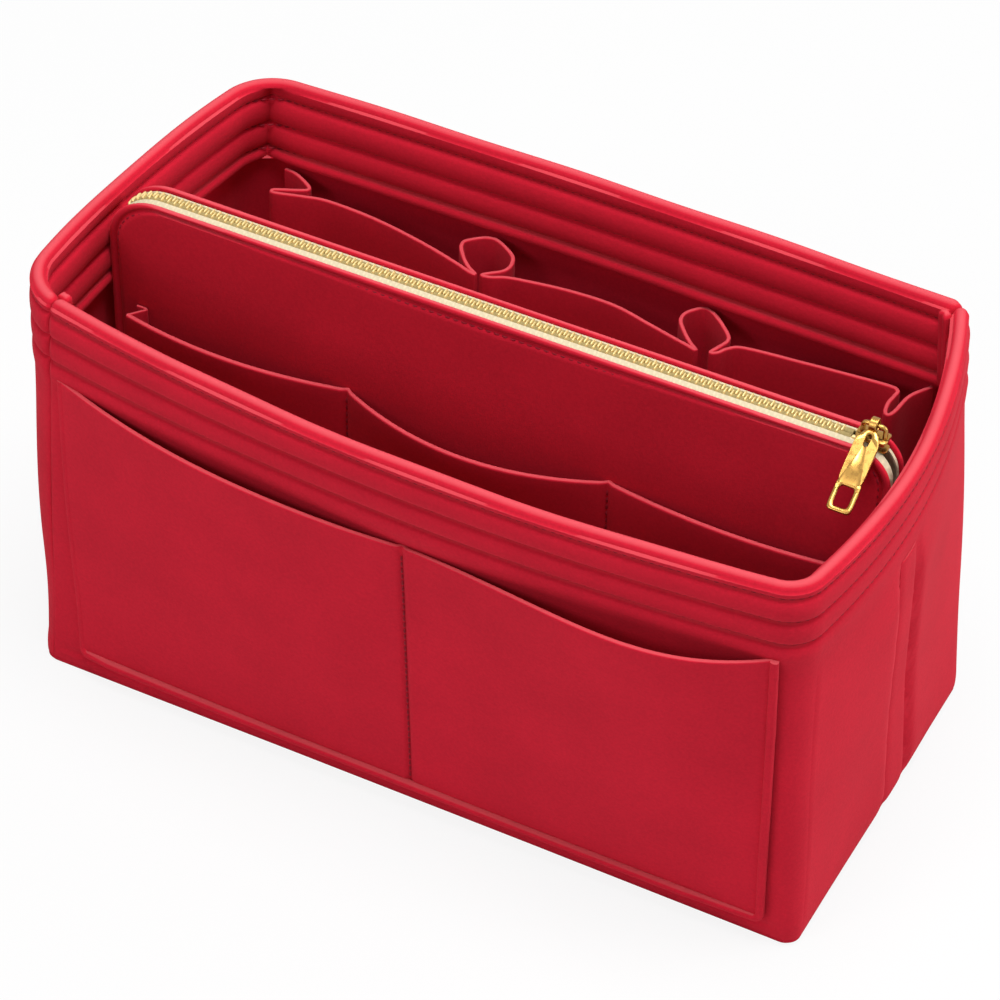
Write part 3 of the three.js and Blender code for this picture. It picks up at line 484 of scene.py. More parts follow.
def wall_stations(walls, start, end):
    """Values of u between two ends, closer together where the corners turn and at the two ends."""
    counts = (110, 30, 60, 30, 110, 30, 60, 30)
    cells = np.arange(math.floor(start), math.ceil(end))
    even = [np.linspace(c, c + 1, counts[int(c) % 8], endpoint=False) for c in cells]
    dense = np.linspace(start, end, 6000)
    run = walls.rim_run(dense)
    near = np.array([0.0, 0.15, 0.4, 0.8, 1.3, 1.9, 2.6, 3.4]) * MM
    ends = [np.interp(near, run, dense), np.interp(run[-1] - near, run, dense)]
    u = np.unique(np.concatenate(even + ends))
    return u[(u >= start) & (u <= end)]


def channels(depth, rows, edge, swell):
    """Relief of a sewn hem at a depth below the rim's top: puffed between the rows, drawn in on each.

    Each channel swells as a half sine between two rows, and each row is a soft groove.
    """
    first, power, groove = 0.5, 0.6, 1.0 * MM
    stops = np.concatenate([[0.0], rows, [edge]])
    cell = np.clip(np.searchsorted(stops, depth, side="right") - 1, 0, len(stops) - 2)
    share = ramp(depth - stops[cell], stops[cell + 1] - stops[cell])
    puff = np.where(cell == 0, first, 1.0) * swell * np.sin(math.pi * share) ** power
    return puff - ROW_DEPTH * swell * bell(depth[..., None] - rows, groove).sum(axis=-1)


def outer_swell(u):
    """Swell of the hem's outer rows at u: least on the two ends and near the front left seam."""
    end_flat, end_middle, end_wide = 0.7, 2.5, 0.75
    seam_flat, seam_middle, seam_wide = 0.6, 7.4, 0.5
    ends = end_flat * bell(np.mod(u, 4) - end_middle, end_wide)
    seam = seam_flat * bell(np.mod(u, 8) - seam_middle, seam_wide)
    return HEM_SWELL * (1 - np.maximum(ends, seam))


def wall_waves(walls, u, z):
    """Soft unevenness of a standing felt wall: a few long waves, and a tuck at the front left foot.

    A wave is its size times the sine of its turn along the wall and upwards, in radians per metre.
    """
    waves = ((1.0, 33, 21, 0.0), (0.8, 60, -34, 1.3), (0.6, 15, 55, 0.4))
    swing, start, fade_top, fade_tall = 0.32 * MM, 60 * MM, 160 * MM, 40 * MM
    deep, before, wide, middle, tall, foot = 1.8 * MM, 0.45, 0.6, 28 * MM, 32 * MM, 12 * MM
    run = walls.run_at(u)
    wave = sum(size * np.sin(run * along + z * up + shift) for size, along, up, shift in waves)
    fade = ramp(z, start) * ramp(fade_top - z, fade_tall)
    turn = np.mod(u + 4, 8) - 4
    tuck = bell(turn + before, wide) * bell(z - middle, tall) * ramp(z, foot)
    return swing * wave * fade - deep * tuck


def foot_turn(z):
    """How far the walls turn in under themselves at height z, where they are sewn to the floor."""
    return FOOT_TURN * (1 - ramp(z, FOOT_TURN_TALL)) ** 2


def foot_crease(u, z):
    """Crease in the front wall under the pocket's welt at height z, fading out towards the corners."""
    deep, wide, below, steep = 1.9 * MM, 1.7 * MM, 5.4 * MM, 12
    along = np.clip(np.mod(u, 8), 0, 1)
    fade = np.clip(steep * along * (1 - along), 0, 1)
    return deep * bell(z - (POCKET_BOTTOM - below), wide) * fade


def end_fold(walls, z, right):
    """Middle and half width of an end's lap strip at height z, which narrows upwards.

    The strip on the right end leans forwards as it goes up, the one on the left end is upright.
    """
    share = ramp(z, walls.hem_edge)
    return right * lerp(*END_STRIP_PLACE, share), lerp(*END_STRIP_HALF, share)


def end_bulge(walls, u, z):
    """Swell of the end walls to each side of the lap strip, which lies in a shallow trough."""
    rise, steep, spread = 2.8 * MM, 2.6 * MM, 24 * MM
    trough, wide, low, high = 1.5 * MM, 1.5 * MM, 14 * MM, 18 * MM
    middle, half = end_fold(walls, z, np.mod(u, 8) < 4)
    across = np.abs(walls.point(u, z, walls.half)[..., 1] - middle) - half
    inside_end = np.isin(np.floor(np.mod(u, 8)), (2, 6))
    fade = ramp(z, low) * ramp(walls.hem_edge - z, high)
    past = np.maximum(across, 0)
    swell = (1 - np.exp(-past / steep)) * np.exp(-past / spread)
    return inside_end * fade * (rise * swell - trough * bell(across, wide))


def wall_section(walls):
    """Section of a wall strip: offsets, heights, and 1 on the outer face, -1 on the hem, else 0."""
    low, half, rim, edge = sizes().wall_felt, walls.half, walls.rim_level, walls.hem_edge
    lip_tall, lip_deep, fold_deep, fold_up, gap = 0.9 * MM, 1.1 * MM, 0.5 * MM, 0.2 * MM, 0.3 * MM
    band = walls.top - OUTER_ROWS[-1] - 6 * MM
    foot, face = np.linspace(low, POCKET_BOTTOM, 18)[:-1], np.linspace(POCKET_BOTTOM, band, 24)[:-1]
    outer = np.concatenate([foot, face, np.linspace(band, rim, 50)])
    roll = np.linspace(0, math.pi, 17)[1:-1]
    hem = np.linspace(rim, edge + lip_tall, 50)
    lip = quarter(6)[1:]
    inner = np.linspace(edge - gap, low, 20)
    n = np.concatenate([
        np.full(outer.size, half), half * np.cos(roll), np.full(hem.size, -half),
        lip_deep * (1 - np.cos(lip)) - half, [walls.inside - fold_deep], np.full(inner.size, walls.inside)
    ])
    lip_z = edge + lip_tall * (1 - np.sin(lip))
    z = np.concatenate([outer, rim + half * np.sin(roll), hem, lip_z, [edge + fold_up], inner])
    side = np.zeros(z.size)
    side[: outer.size] = 1
    side[outer.size + roll.size :][: hem.size] = -1
    return n, z, side


def wall_strip(walls, start, end):
    """Wall strip: its section goes up the outer face, over the roll, down the hem and the inner face.

    The section is carried round the box at u and leans with the ruled wall. Near the two seams it
    narrows like a rounded end, and where the felt folds round a corner the hem has a crease.
    """
    s, half, rim = sizes(), walls.half, walls.rim_level
    n, z, face = wall_section(walls)
    stations = wall_stations(walls, start, end)
    u, level = stations[:, None], np.broadcast_to(z, (stations.size, z.size))
    depth = walls.top - level
    rows = channels(depth, OUTER_ROWS, OUTER_ROWS[-1] + 9 * MM, outer_swell(u))
    relief = np.where(face > 0, rows + end_bulge(walls, u, level), 0)
    relief = relief - np.where(face > 0, foot_turn(level) + foot_crease(u, level), 0)
    rows = channels(depth, INNER_ROWS, s.hem_depth + 1 * MM, HEM_SWELL)
    relief = relief - np.where(face < 0, rows, 0) + wall_waves(walls, u, level)
    ripple, turns = 0.25 * MM, 80
    relief = relief + ripple * np.sin(walls.run_at(u) * turns) * (level > rim)
    run = walls.rim_run(stations)
    deep, wide, below = 3.4 * MM, 4 * MM, 5 * MM
    for corner in FOLDED_CORNERS:
        away = np.abs(run - np.interp(corner, stations, run))
        fold = (start < corner < end) * np.exp(-away / wide)[:, None]
        relief = relief + deep * fold * (face < 0) * ramp(depth, below)
    blunt, thinnest, lowest = 3.2 * MM, 0.4, 0.55
    from_end = np.maximum(blunt - np.minimum(run, run[-1] - run), 0)
    keep = np.sqrt(np.clip(1 - (from_end / blunt) ** 2, 0, 1))[:, None]
    middle = half - s.wall_felt / 2 - np.where(level > walls.hem_edge, half / 2, 0)
    offset = middle + (n + relief - middle) * lerp(thinnest, 1, keep)
    high = rim - half
    level = np.where(level > high, high + (level - high) * lerp(lowest, 1, keep), level)
    return swept(walls.point(u, level, offset))


def row_lines(walls, start, end):
    """The rows of stitches on both faces of a wall strip's hem."""
    clear, sunk = 3 * MM, 0.15 * MM
    stations = wall_stations(walls, start, end)
    run = walls.rim_run(stations)
    u = stations[(run > clear) & (run < run[-1] - clear)]
    out = []
    for way, rows, swell in ((1, OUTER_ROWS, outer_swell(u)), (-1, INNER_ROWS, HEM_SWELL)):
        for row in rows:
            level = np.full(u.shape, walls.top - row)
            n = way * (walls.half - ROW_DEPTH * swell - sunk) + wall_waves(walls, u, level)
            out.append(stitches(walls.point(u, level, n), way * walls.normal(u, level)))
    return out


def pocket_cell(run, ends):
    """Which compartment each run lies in, and its place there from -1 to 1."""
    cell = np.clip(np.searchsorted(ends, run, side="right") - 1, 0, len(ends) - 2)
    return cell, np.clip(2 * (run - ends[cell]) / (ends[cell + 1] - ends[cell]) - 1, -1, 1)


def pocket_run(ends, count):
    """Stations along a pocket, closer together at its ends and seams."""
    parts = [lerp(ends[i], ends[i + 1], eased(count))[min(i, 1) :] for i in range(len(ends) - 1)]
    return np.concatenate(parts)


def outer_pocket(walls):
    """The outer pocket panel, sewn down at its ends, its foot and its middle seam.

    The left compartment stands off the wall by its gape times one minus t squared, growing upwards.
    The right one gapes most towards its right end: the sine of half a turn of a bent share.
    """
    s = sizes()
    bent, blunt, opening = 1.8, 0.9, 1.1
    groove, wide, clear = 1.1 * MM, 1.1 * MM, 0.1 * MM
    run = pocket_run(POCKET_ENDS, count=60)
    cell, t = pocket_cell(run, POCKET_ENDS)
    skewed = np.clip(np.sin(math.pi * ((1 + t) / 2) ** bent), 0, 1) ** blunt
    arch = np.where(cell == 0, 1 - t * t, skewed)
    seam = groove * bell(run - POCKET_ENDS[1], wide)[:, None]
    rounded = s.pocket_felt / 2
    low = np.full(run.shape, POCKET_BOTTOM + rounded)
    reach = np.where(cell == 0, (1 + t) / 2, (1 - t) / 2)
    high = s.outer_mouth - rounded - POCKET_DROOPS[cell] * arch - SEAM_DROP * reach
    gape = (POCKET_GAPES[cell] * arch)[:, None]

    def stand(b):
        return walls.half + clear + gape * b[None, :] ** opening - seam

    n, z = felt_loop(low, high, stand, s.pocket_felt, levels=28)
    u = walls.side_u(0, run[:, None] + lerp(*SEAM_LEAN, z / s.outer_mouth) * reach[:, None], z)
    return swept(walls.point(u, z, n + wall_waves(walls, u, z)))


def pocket_welt(walls):
    """Bound edge round the outer pocket: a narrow roll down the left, along the foot and up the right.

    It stands proud at the foot and the right, is pressed flat at the left, and doesn't touch the wall.
    """
    wide, radius, lap = 3.0 * MM, 2.6 * MM, 0.5 * MM
    flat, proud, more, left_fade, right_fade = 1.9 * MM, 3.4 * MM, 1.2 * MM, 12 * MM, 30 * MM
    left, right = POCKET_ENDS[0] + lap - wide / 2, POCKET_ENDS[-1] - lap + wide / 2
    foot, high = POCKET_BOTTOM + lap - wide / 2, sizes().outer_mouth
    line = u_line((left, right), foot, (high, high), radius, counts=(40, 150, 9))
    x, z = line[:, 0:1], line[:, 1:2]
    along = unit(np.gradient(line, axis=0))
    angle = np.linspace(0, math.pi, 11)
    across = np.concatenate([-wide / 2 * np.cos(angle), wide * np.array([0.4, 0.0, -0.4])])
    stand = lerp(flat, proud, ramp(x - left, left_fade))
    stand = stand + more * np.abs(along[:, 0:1]) * ramp(right - x, right_fade)
    edge, power, under = 0.4, 0.4, 0.3
    lift = np.concatenate([edge + (1 - edge) * np.sin(angle) ** power, np.full(3, under)])
    px, pz = x + across * along[:, 1:2], z - across * along[:, 0:1]
    u = walls.side_u(0, px, pz)
    return swept(walls.point(u, pz, walls.half + stand * lift + wall_waves(walls, u, pz)))


def end_strip(walls, side):
    """Lap strip down an end wall: a felt band that lies in the trough between the wall's two swells."""
    thin, sunk, dip, reach = 1.4 * MM, 0.7 * MM, 0.9 * MM, 0.97
    across = np.linspace(-reach, reach, 25)
    low = np.full(across.shape, sizes().wall_felt + 1 * MM)
    high = np.full(across.shape, walls.hem_edge - 2 * MM)
    face = (walls.half - sunk - dip * np.abs(across) ** 4)[:, None]
    n, z = felt_loop(low, high, lambda b: face + 0 * b, thin, levels=24)
    middle, half = end_fold(walls, z, side == 1)
    way = 1 if side == 1 else -1
    u = walls.side_u(side, way * (middle + half * across[:, None]), z)
    return swept(walls.point(u, z, n + wall_waves(walls, u, z) - foot_turn(z)))


def base_panel(walls):
    """Floor panel: the floor outline with rounded cut edges, as rings from the underside to the top."""
    felt, inset = sizes().wall_felt, 0.8 * MM
    counts = (50, 20) * 4
    u = np.unique(np.concatenate([np.linspace(c, c + 1, counts[c]) for c in range(8)]))[:-1]
    outline = walls.point(u, np.zeros(u.shape), walls.half - FOOT_TURN)[:, :2]
    shrink = np.array([0.5, 1.0, 1.0, 1.0, 1.0, 0.5])[:, None, None]
    drop = np.array([0, inset, 0, 0, inset, 0])[:, None, None]
    z = np.array([0, 0, inset, felt - inset, felt, felt])
    reach = np.linalg.norm(outline, axis=1)[None, :, None]
    rings = outline[None, :, :] * shrink * (1 - drop / reach)
    level = np.broadcast_to(z[:, None, None], rings.shape[:2] + (1,))
    return swept(np.concatenate([rings, level], axis=-1))


def corner_seam(walls, u):
    """Seam allowance inside a corner: two felt edges side by side that step in over the hem.

    The section is a rounded square with a cleft between the two edges, and it rounds off at the top.
    """
    depth, width, rows, power = 3.7 * MM, 5.0 * MM, 26, 4
    step_below, step_tall, clear, off = 4.5 * MM, 4.2 * MM, 0.1 * MM, 0.3 * MM
    below, cap_low, cap_tall, blunt = 3.6 * MM, 2 * MM, 2.4 * MM, 0.12
    cleft_deep, cleft_wide = 0.32, 0.28
    high = walls.top - below
    cap = np.linspace(0.1, math.pi / 2, 7)
    straight = np.linspace(sizes().wall_felt, high - cap_low, rows)
    z = np.concatenate([straight, high + cap_tall * np.sin(cap)])
    tip = np.concatenate([np.ones(rows), np.cos(cap - blunt)])[:, None, None]
    over = ramp(z - (walls.hem_edge - step_below), step_tall)
    back = lerp(walls.inside, -walls.half, over) - clear
    angle = circle(28)
    cleft = 1 - cleft_deep * bell(angle - 1.5 * math.pi, cleft_wide)
    across, into = (part * cleft for part in superellipse(angle, power))
    place = np.full(z.shape, u)
    normal = walls.normal(place, z)
    side = np.stack([-normal[:, 1], normal[:, 0], np.zeros(z.shape)], axis=-1)
    middle = walls.point(place, z, back) - normal * (depth / 2 + off)
    spread = tip * width / 2 * across[None, :, None] * side[:, None, :]
    deep = tip * depth / 2 * into[None, :, None] * normal[:, None, :]
    return swept(middle[:, None, :] + spread + deep)


# Pocket strip on the back wall


def strip_knots():
    """Plan of the pocket strip at its top: pleat, pockets, the two pen loops and the end gusset.

    A loop leaves the strip at a narrow neck, widens and comes to a blunt point at the wall.
    """
    left = [
        (-128.5, 72.0), (-123.5, 71.0), (-116.8, 67.4), (-115.0, 65.2), (-117.2, 63.4), (-125.2, 59.6),
        (-126.7, 58.3), (-124.8, 57.6), (-115.0, 60.4), (-104.9, 62.4), (-84.7, 61.3), (-63.7, 57.4),
        (-47.5, 53.0), (-41.5, 51.0)
    ]
    left_loop = [
        (-38.2, 50.5), (-42.2, 53.0), (-45.3, 55.8), (-48.4, 59.5), (-50.2, 62.3), (-50.7, 64.9),
        (-49.6, 66.8), (-46.6, 69.6), (-44.3, 71.2), (-41.3, 71.7), (-38.1, 70.6), (-34.7, 68.6),
        (-32.0, 66.7), (-30.3, 64.4), (-29.4, 61.1), (-29.7, 58.3), (-31.2, 56.0), (-33.8, 53.8),
        (-36.2, 51.3)
    ]
    middle = [
        (-33.0, 51.6), (-28.2, 54.0), (-22.0, 55.5), (-5.1, 58.1), (13.0, 58.5), (29.0, 54.9),
        (39.3, 52.4), (45.5, 51.0)
    ]
    right_loop = [
        (49.3, 50.0), (45.6, 53.0), (42.5, 56.0), (39.7, 59.2), (37.8, 61.8), (37.1, 64.3), (37.4, 66.8),
        (38.9, 69.4), (41.0, 71.7), (43.0, 72.4), (45.8, 71.5), (49.8, 68.6), (52.9, 65.8), (55.3, 63.4),
        (56.7, 61.4), (56.9, 59.2), (56.2, 56.9), (55.3, 54.6), (54.2, 51.3)
    ]
    right = [
        (56.6, 52.4), (58.8, 56.0), (64.0, 59.2), (83.4, 61.5), (102.0, 63.4), (116.5, 64.6),
        (120.3, 63.6), (120.4, 60.5), (120.0, 56.0), (121.0, 51.2), (122.6, 50.4), (123.8, 53.6),
        (125.2, 63.0), (130.0, 71.2)
    ]
    return np.array(left + left_loop + middle + right_loop + right) * MM


def strip_levels(walls, x, off, z):
    """Place of the strip at heights z: off the wall above the turn, and sewn flat at its foot."""
    flat = 1.1 * MM
    rise = np.sin(ramp(z - STRIP_BOTTOM, STRIP_TURN - STRIP_BOTTOM) * math.pi / 2)
    away = np.where(off > flat, flat + (off - flat) * rise, off)
    return np.stack(np.broadcast_arrays(x, walls.back_inside(x, z) - away, z), axis=-1)


def strip_line():
    """The strip's plan line, rounded through its knots."""
    return smooth_path(strip_knots(), count=700)


def back_strip(walls):
    """The pocket strip as one ribbon of felt that follows its plan line, with rounded cut edges."""
    felt, top = sizes().strip_felt, sizes().strip_top
    x, y, z = felt_ribbon(strip_line(), STRIP_BOTTOM + felt / 2, top - felt / 2, felt, levels=22)
    off = np.maximum(walls.back_inside(x, np.full(x.shape, top)) - y, 0.1 * MM)
    return swept(strip_levels(walls, x, off, z))


def loop_stitches(walls):
    """Vertical stitches that hold the back of each loop to the wall."""
    low, high, off = 64 * MM, 134 * MM, 3.2 * MM
    out = []
    z = np.linspace(low, high, 30)
    for x in LOOP_BACKS:
        line = strip_levels(walls, np.full(z.shape, x), np.full(z.shape, off), z)
        out.append(stitches(line, (0.0, -1.0, 0.0)))
    return out


# Pouch


class Pouch:
    """Outline and zip path of the pouch, between ends that clear the walls and the rim."""

    def __init__(self):
        s = sizes()
        low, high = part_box("pouch_front_panel")
        self.left, self.right, self.bottom = low[0], high[0], low[2]
        self.front, self.back = -s.pouch_front, -s.pouch_front + s.pouch_thickness
        self.top, self.foot_corner = s.pouch_top, s.pouch_foot_corner
        self.corners = np.array([s.pouch_left_corner, s.pouch_right_corner])
        self.x = (self.left + self.right) / 2
        self.inset = 1.4 * MM
        self.straights = (self.right - self.left) / 2 - self.corners
        self.radii = self.corners - self.inset
        self.ends = self.straights + self.radii * math.pi / 2
        self.zip_z = self.top - self.inset
        self.zip_start = -self.straights[0] - self.radii[0] * math.pi / 4
        self.zip_end = self.straights[1] - CHAIN_SHORT
        self.chain_half = s.chain_width / 2
        self.chain_y = self.front + s.pocket_felt + s.tape_width + 2 * GAP + self.chain_half

    def outline(self, steps=16):
        """Rounded outline in X and Z, counter-clockwise from the right."""
        turn = quarter(steps)
        f, (a, b) = self.foot_corner, self.corners
        spots = [
            (self.right - b, self.top - b, b, 0), (self.left + a, self.top - a, a, math.pi / 2),
            (self.left + f, self.bottom + f, f, math.pi),
            (self.right - f, self.bottom + f, f, 1.5 * math.pi)
        ]
        arcs = []
        for x, z, radius, first in spots:
            angle = first + turn
            arcs.append(np.stack([x + radius * np.cos(angle), z + radius * np.sin(angle)], axis=-1))
        sides = []
        for i, arc in enumerate(arcs):
            start, end = arc[-1], arcs[(i + 1) % 4][0]
            fill = np.linspace(0, 1, 60 if i % 2 == 0 else 30)[1:-1, None]
            sides.extend([arc, start + (end - start) * fill])
        return np.concatenate(sides)

    def zip_point(self, run, y, off):
        """Point over the pouch's top at a run from its middle, off the tape, bending down both corners."""
        run, y, off = np.broadcast_arrays(*(np.asarray(v, float) for v in (run, y, off)))
        side = (run > 0).astype(int)
        straight, radius = self.straights[side], self.radii[side]
        past = np.maximum(np.abs(run) - straight, 0)
        bend = radius * math.pi / 2
        angle = np.minimum(past, bend) / radius
        reach = np.minimum(np.abs(run), straight) + (radius + off) * np.sin(angle)
        z = self.zip_z - radius + (radius + off) * np.cos(angle) - np.maximum(past - bend, 0)
        return np.stack([self.x + np.sign(run) * reach, y, z], axis=-1)

    def zip_runs(self, before, after, count=80):
        """Runs along the zip from beyond its left corner to beyond its right one."""
        bends = [np.linspace(self.straights[i], self.ends[i], 14) for i in (0, 1)]
        middle = np.linspace(-self.straights[0], self.straights[1], count)[1:-1]
        first, last = [-self.ends[0] - before], [self.ends[1] + after]
        return np.concatenate([first, -bends[0][::-1], middle, bends[1], last])


def pouch_panel(pouch, face, way):
    """Felt panel of the pouch: rings of its outline from the middle out, round the cut edge and back in.

    The panel swells a little in the middle, and a row of stitches draws a groove along its edge.
    """
    half = sizes().pocket_felt / 2
    puff, puff_reach, puff_power = 1.2 * MM, 60 * MM, 0.6
    groove, groove_in, groove_wide = 1.1 * MM, 3.2 * MM, 0.8 * MM
    outline = pouch.outline()
    middle = np.array([pouch.x, (pouch.top + pouch.bottom) / 2])
    arc = np.linspace(0, math.pi, 8)[1:-1]
    inward = np.array([1000, 88, 60, 40, 20, 10, 6, 4.6, 3.9, 3.4, 3.0, 2.6, 2.1, 1.5]) * MM
    inset = np.concatenate([inward, half - half * np.sin(arc), inward[::-1]])
    depth = np.concatenate([np.full(inward.size, half), half * np.cos(arc), np.full(inward.size, -half)])
    swell = puff * ramp(inset, puff_reach) ** puff_power
    swell = swell - np.where(depth > 0, groove * bell(inset - groove_in, groove_wide), 0)
    arm = outline - middle
    reach = np.linalg.norm(arm, axis=1)[None, :, None]
    share = np.maximum(1 - inset[:, None, None] / reach, 0.02)
    flat = middle + arm[None] * share
    y = np.broadcast_to((face - way * half + way * (depth + swell))[:, None], flat.shape[:2])
    return swept(np.stack([flat[..., 0], y, flat[..., 1]], axis=-1))


def gusset_line(pouch):
    """Path of the gusset in X and Z, from one tape end down, along the bottom and up to the other."""
    tail, radius = 13 * MM, pouch.radii[0]
    high = pouch.zip_z - pouch.radii - np.array([0.0, tail])
    bend = np.linspace(math.pi / 4, 0, 10)[:-1]
    start = [pouch.left + radius * (1 - np.cos(bend)), high[0] + radius * np.sin(bend)]
    sides = (pouch.left, pouch.right)
    rest = u_line(sides, pouch.bottom, high, pouch.foot_corner, counts=(20, 60, 14))
    return np.concatenate([np.stack(start, axis=-1), rest])


def pouch_gusset(pouch):
    """Felt strip between the panels round the ends and the bottom, bowed inwards across its width."""
    sunk, bow = 0.6 * MM, 1.6 * MM
    line = gusset_line(pouch)
    inward = sideways(line)
    y = np.linspace(pouch.front + GUSSET_INSET, pouch.back - GUSSET_INSET, 9)
    dish = sunk + bow * (1 - ((y - y.mean()) / (y[-1] - y.mean())) ** 2)
    into = np.concatenate([dish, (dish + sizes().pocket_felt)[::-1]])[None, :, None]
    flat = line[:, None, :] + into * inward[:, None, :]
    ys = np.broadcast_to(np.concatenate([y, y[::-1]]), flat.shape[:2])
    return swept(np.stack([flat[..., 0], ys, flat[..., 1]], axis=-1))


def pouch_pocket_ends(pouch):
    """The pouch pocket's two ends and its divisions."""
    left, right = 11 * MM, 6 * MM
    return np.array([pouch.left + left, *DIVISIONS, pouch.right - right])


def pouch_pocket(pouch):
    """Pocket on the pouch's front, with three mouths.

    Each stands forward by its gape times one minus t squared, growing upwards. The left end also
    stands off by the thickness of its folded pleat.
    """
    s = sizes()
    pleat, narrowing = 5.6 * MM, 1.5
    groove, wide = 0.6 * MM, 1.2 * MM
    ends = pouch_pocket_ends(pouch)
    run = pocket_run(ends, count=46)
    cell, t = pocket_cell(run, ends)
    left = ramp(DIVISIONS[0] - run, DIVISIONS[0] - ends[0])
    gape = (POUCH_GAPES[cell] * (1 - t * t) + pleat * left**narrowing)[:, None]
    seams = groove * bell(run[:, None] - DIVISIONS, wide).sum(axis=-1)[:, None]
    felt = s.pocket_felt
    low = np.full(run.shape, POUCH_POCKET_BOTTOM + felt / 2)
    high = s.pouch_pocket_top - felt / 2 + POUCH_POCKET_RISE * left
    n, z = felt_loop(low, high, lambda b: gape * b[None, :] - seams, felt, levels=26)
    y = pouch.front - POUCH_POCKET_OFF - n
    return swept(np.stack([np.broadcast_to(run[:, None], z.shape), y, z], axis=-1))


def pleat_line():
    """Plan of the folded pleat at the pouch pocket's left end: along, and forward of the panel."""
    knots = [
        (0.2, 0.3), (3.4, 0.4), (4.4, 0.9), (3.6, 1.8), (0.7, 5.4), (0.0, 6.2), (0.7, 6.8), (3.0, 7.0)
    ]
    return smooth_path(np.array(knots) * MM, count=90)


def pouch_pleat(pouch):
    """Folded pleat between the pouch's pocket and its panel, opening towards the top."""
    felt, off, opening, shut = 1.1 * MM, 1.2 * MM, 60 * MM, 0.2
    high = sizes().pouch_pocket_top + POUCH_POCKET_RISE - 1.0 * MM
    along, forward, z = felt_ribbon(pleat_line(), PLEAT_BOTTOM, high, felt, levels=8)
    forward = forward * np.clip((z - opening) / opening, shut, 1)
    x = pouch_pocket_ends(pouch)[0] + along
    return swept(np.stack([x, pouch.front - off - forward, z], axis=-1))


def pouch_stitches(pouch):
    """Rows of stitches beside the zip on both panels, and down the divisions of the pouch's pocket."""
    s = sizes()
    sunk, below, past, seam_sunk = 0.25 * MM, 2.6 * MM, 8 * MM, 0.5 * MM
    out = []
    for face, way in ((pouch.front, -1.0), (pouch.back, 1.0)):
        line = pouch.zip_point(pouch.zip_runs(past, past, count=200), face - way * sunk, -below)
        out.append(stitches(line, (0.0, way, 0.0)))
    z = np.linspace(POUCH_POCKET_BOTTOM + 4 * MM, s.pouch_pocket_top - 3 * MM, 60)
    y = np.full(z.shape, pouch.front - POUCH_POCKET_OFF - s.pocket_felt + seam_sunk)
    for x in DIVISIONS:
        line = np.stack([np.full(z.shape, x), y, z], axis=-1)
        out.append(stitches(line, (0.0, -1.0, 0.0)))
    return out


# Zip


def zip_tape(pouch, side):
    """Woven tape: it leaves the teeth level, turns down at the panel and is sewn to the panel's inside.

    The section is a thin band round that corner, carried along the zip's path.
    """
    felt = sizes().pocket_felt
    half, turn_in, clear, lap = 0.35 * MM, 9.5 * MM, 0.05 * MM, 0.5 * MM
    panel = pouch.front + felt if side < 0 else pouch.back - felt
    wall = panel - side * (half + clear)
    near = pouch.chain_y + side * (pouch.chain_half - lap)
    radius = min(0.5 * MM, abs(wall - near) * 0.8)
    bend = quarter(6)
    y = np.concatenate([[near], wall - side * radius * (1 - np.sin(bend)), [wall]])
    off = np.concatenate([[0.0], -radius * (1 - np.cos(bend)), [-turn_in]])
    line = np.stack([y, off], axis=-1)
    normal = sideways(line)
    section = np.concatenate([line + half * normal, (line - half * normal)[::-1]])
    run = np.unique(np.maximum(pouch.zip_runs(TAPE_TAIL, TAPE_TAIL), pouch.zip_start))
    return swept(pouch.zip_point(run[:, None], section[None, :, 0], section[None, :, 1]))


def zip_cord(pouch, side):
    """Beaded edge of the tape that the teeth are clamped on."""
    wide, tall, reach = 1.15 * MM, 0.75 * MM, 1.2 * MM
    run = np.unique(np.clip(pouch.zip_runs(0, 0), pouch.zip_start, pouch.zip_end))
    angle = circle(12)
    y = pouch.chain_y + side * (reach + wide * np.cos(angle))
    return swept(pouch.zip_point(run[:, None], y[None, :], tall * np.sin(angle)[None, :]))


def zip_teeth(pouch, side):
    """Row of metal teeth: each a rounded bar from its root on the tape to a cupped head.

    The two rows are half a pitch apart.
    """
    pitch, power, lift = sizes().tooth_pitch, 3, 0.2 * MM
    count = int((pouch.zip_end - pouch.zip_start) / pitch) - 1
    middle = pouch.zip_start + pitch * (0.5 if side < 0 else 1.0) + pitch * np.arange(count)
    reach = np.array([2.1, 2.0, 1.4, 0.7, 0.0, -0.7, -0.9]) * MM
    wide = np.array([0.3, 0.42, 0.44, 0.42, 0.46, 0.44, 0.28]) * MM
    tall = np.array([0.7, 1.0, 1.12, 1.15, 1.1, 0.95, 0.6]) * MM
    angle = circle(8) + math.pi / 8
    c, s = superellipse(angle, power)
    run, off = wide[:, None] * c, tall[:, None] * s
    y = pouch.chain_y + side * np.broadcast_to(reach[:, None], run.shape)
    points = pouch.zip_point(middle[:, None, None] + run, y, off + lift)
    return repeated(points, *run.shape)


def rounded_block(centre, half, power=5.0, rows=9, columns=24):
    """Closed block with rounded edges: a superellipsoid between two small end rings."""
    last = math.pi / 2 - 0.08
    v, w = np.linspace(-last, last, rows)[:, None], circle(columns)[None, :]

    def bend(value):
        return np.sign(value) * np.abs(value) ** (2 / power)

    x = half[0] * bend(np.cos(v)) * bend(np.cos(w))
    y = half[1] * bend(np.cos(v)) * bend(np.sin(w))
    z = half[2] * bend(np.sin(v)) * np.ones_like(w)
    return swept(np.stack([x, y, z], axis=-1) + np.asarray(centre))


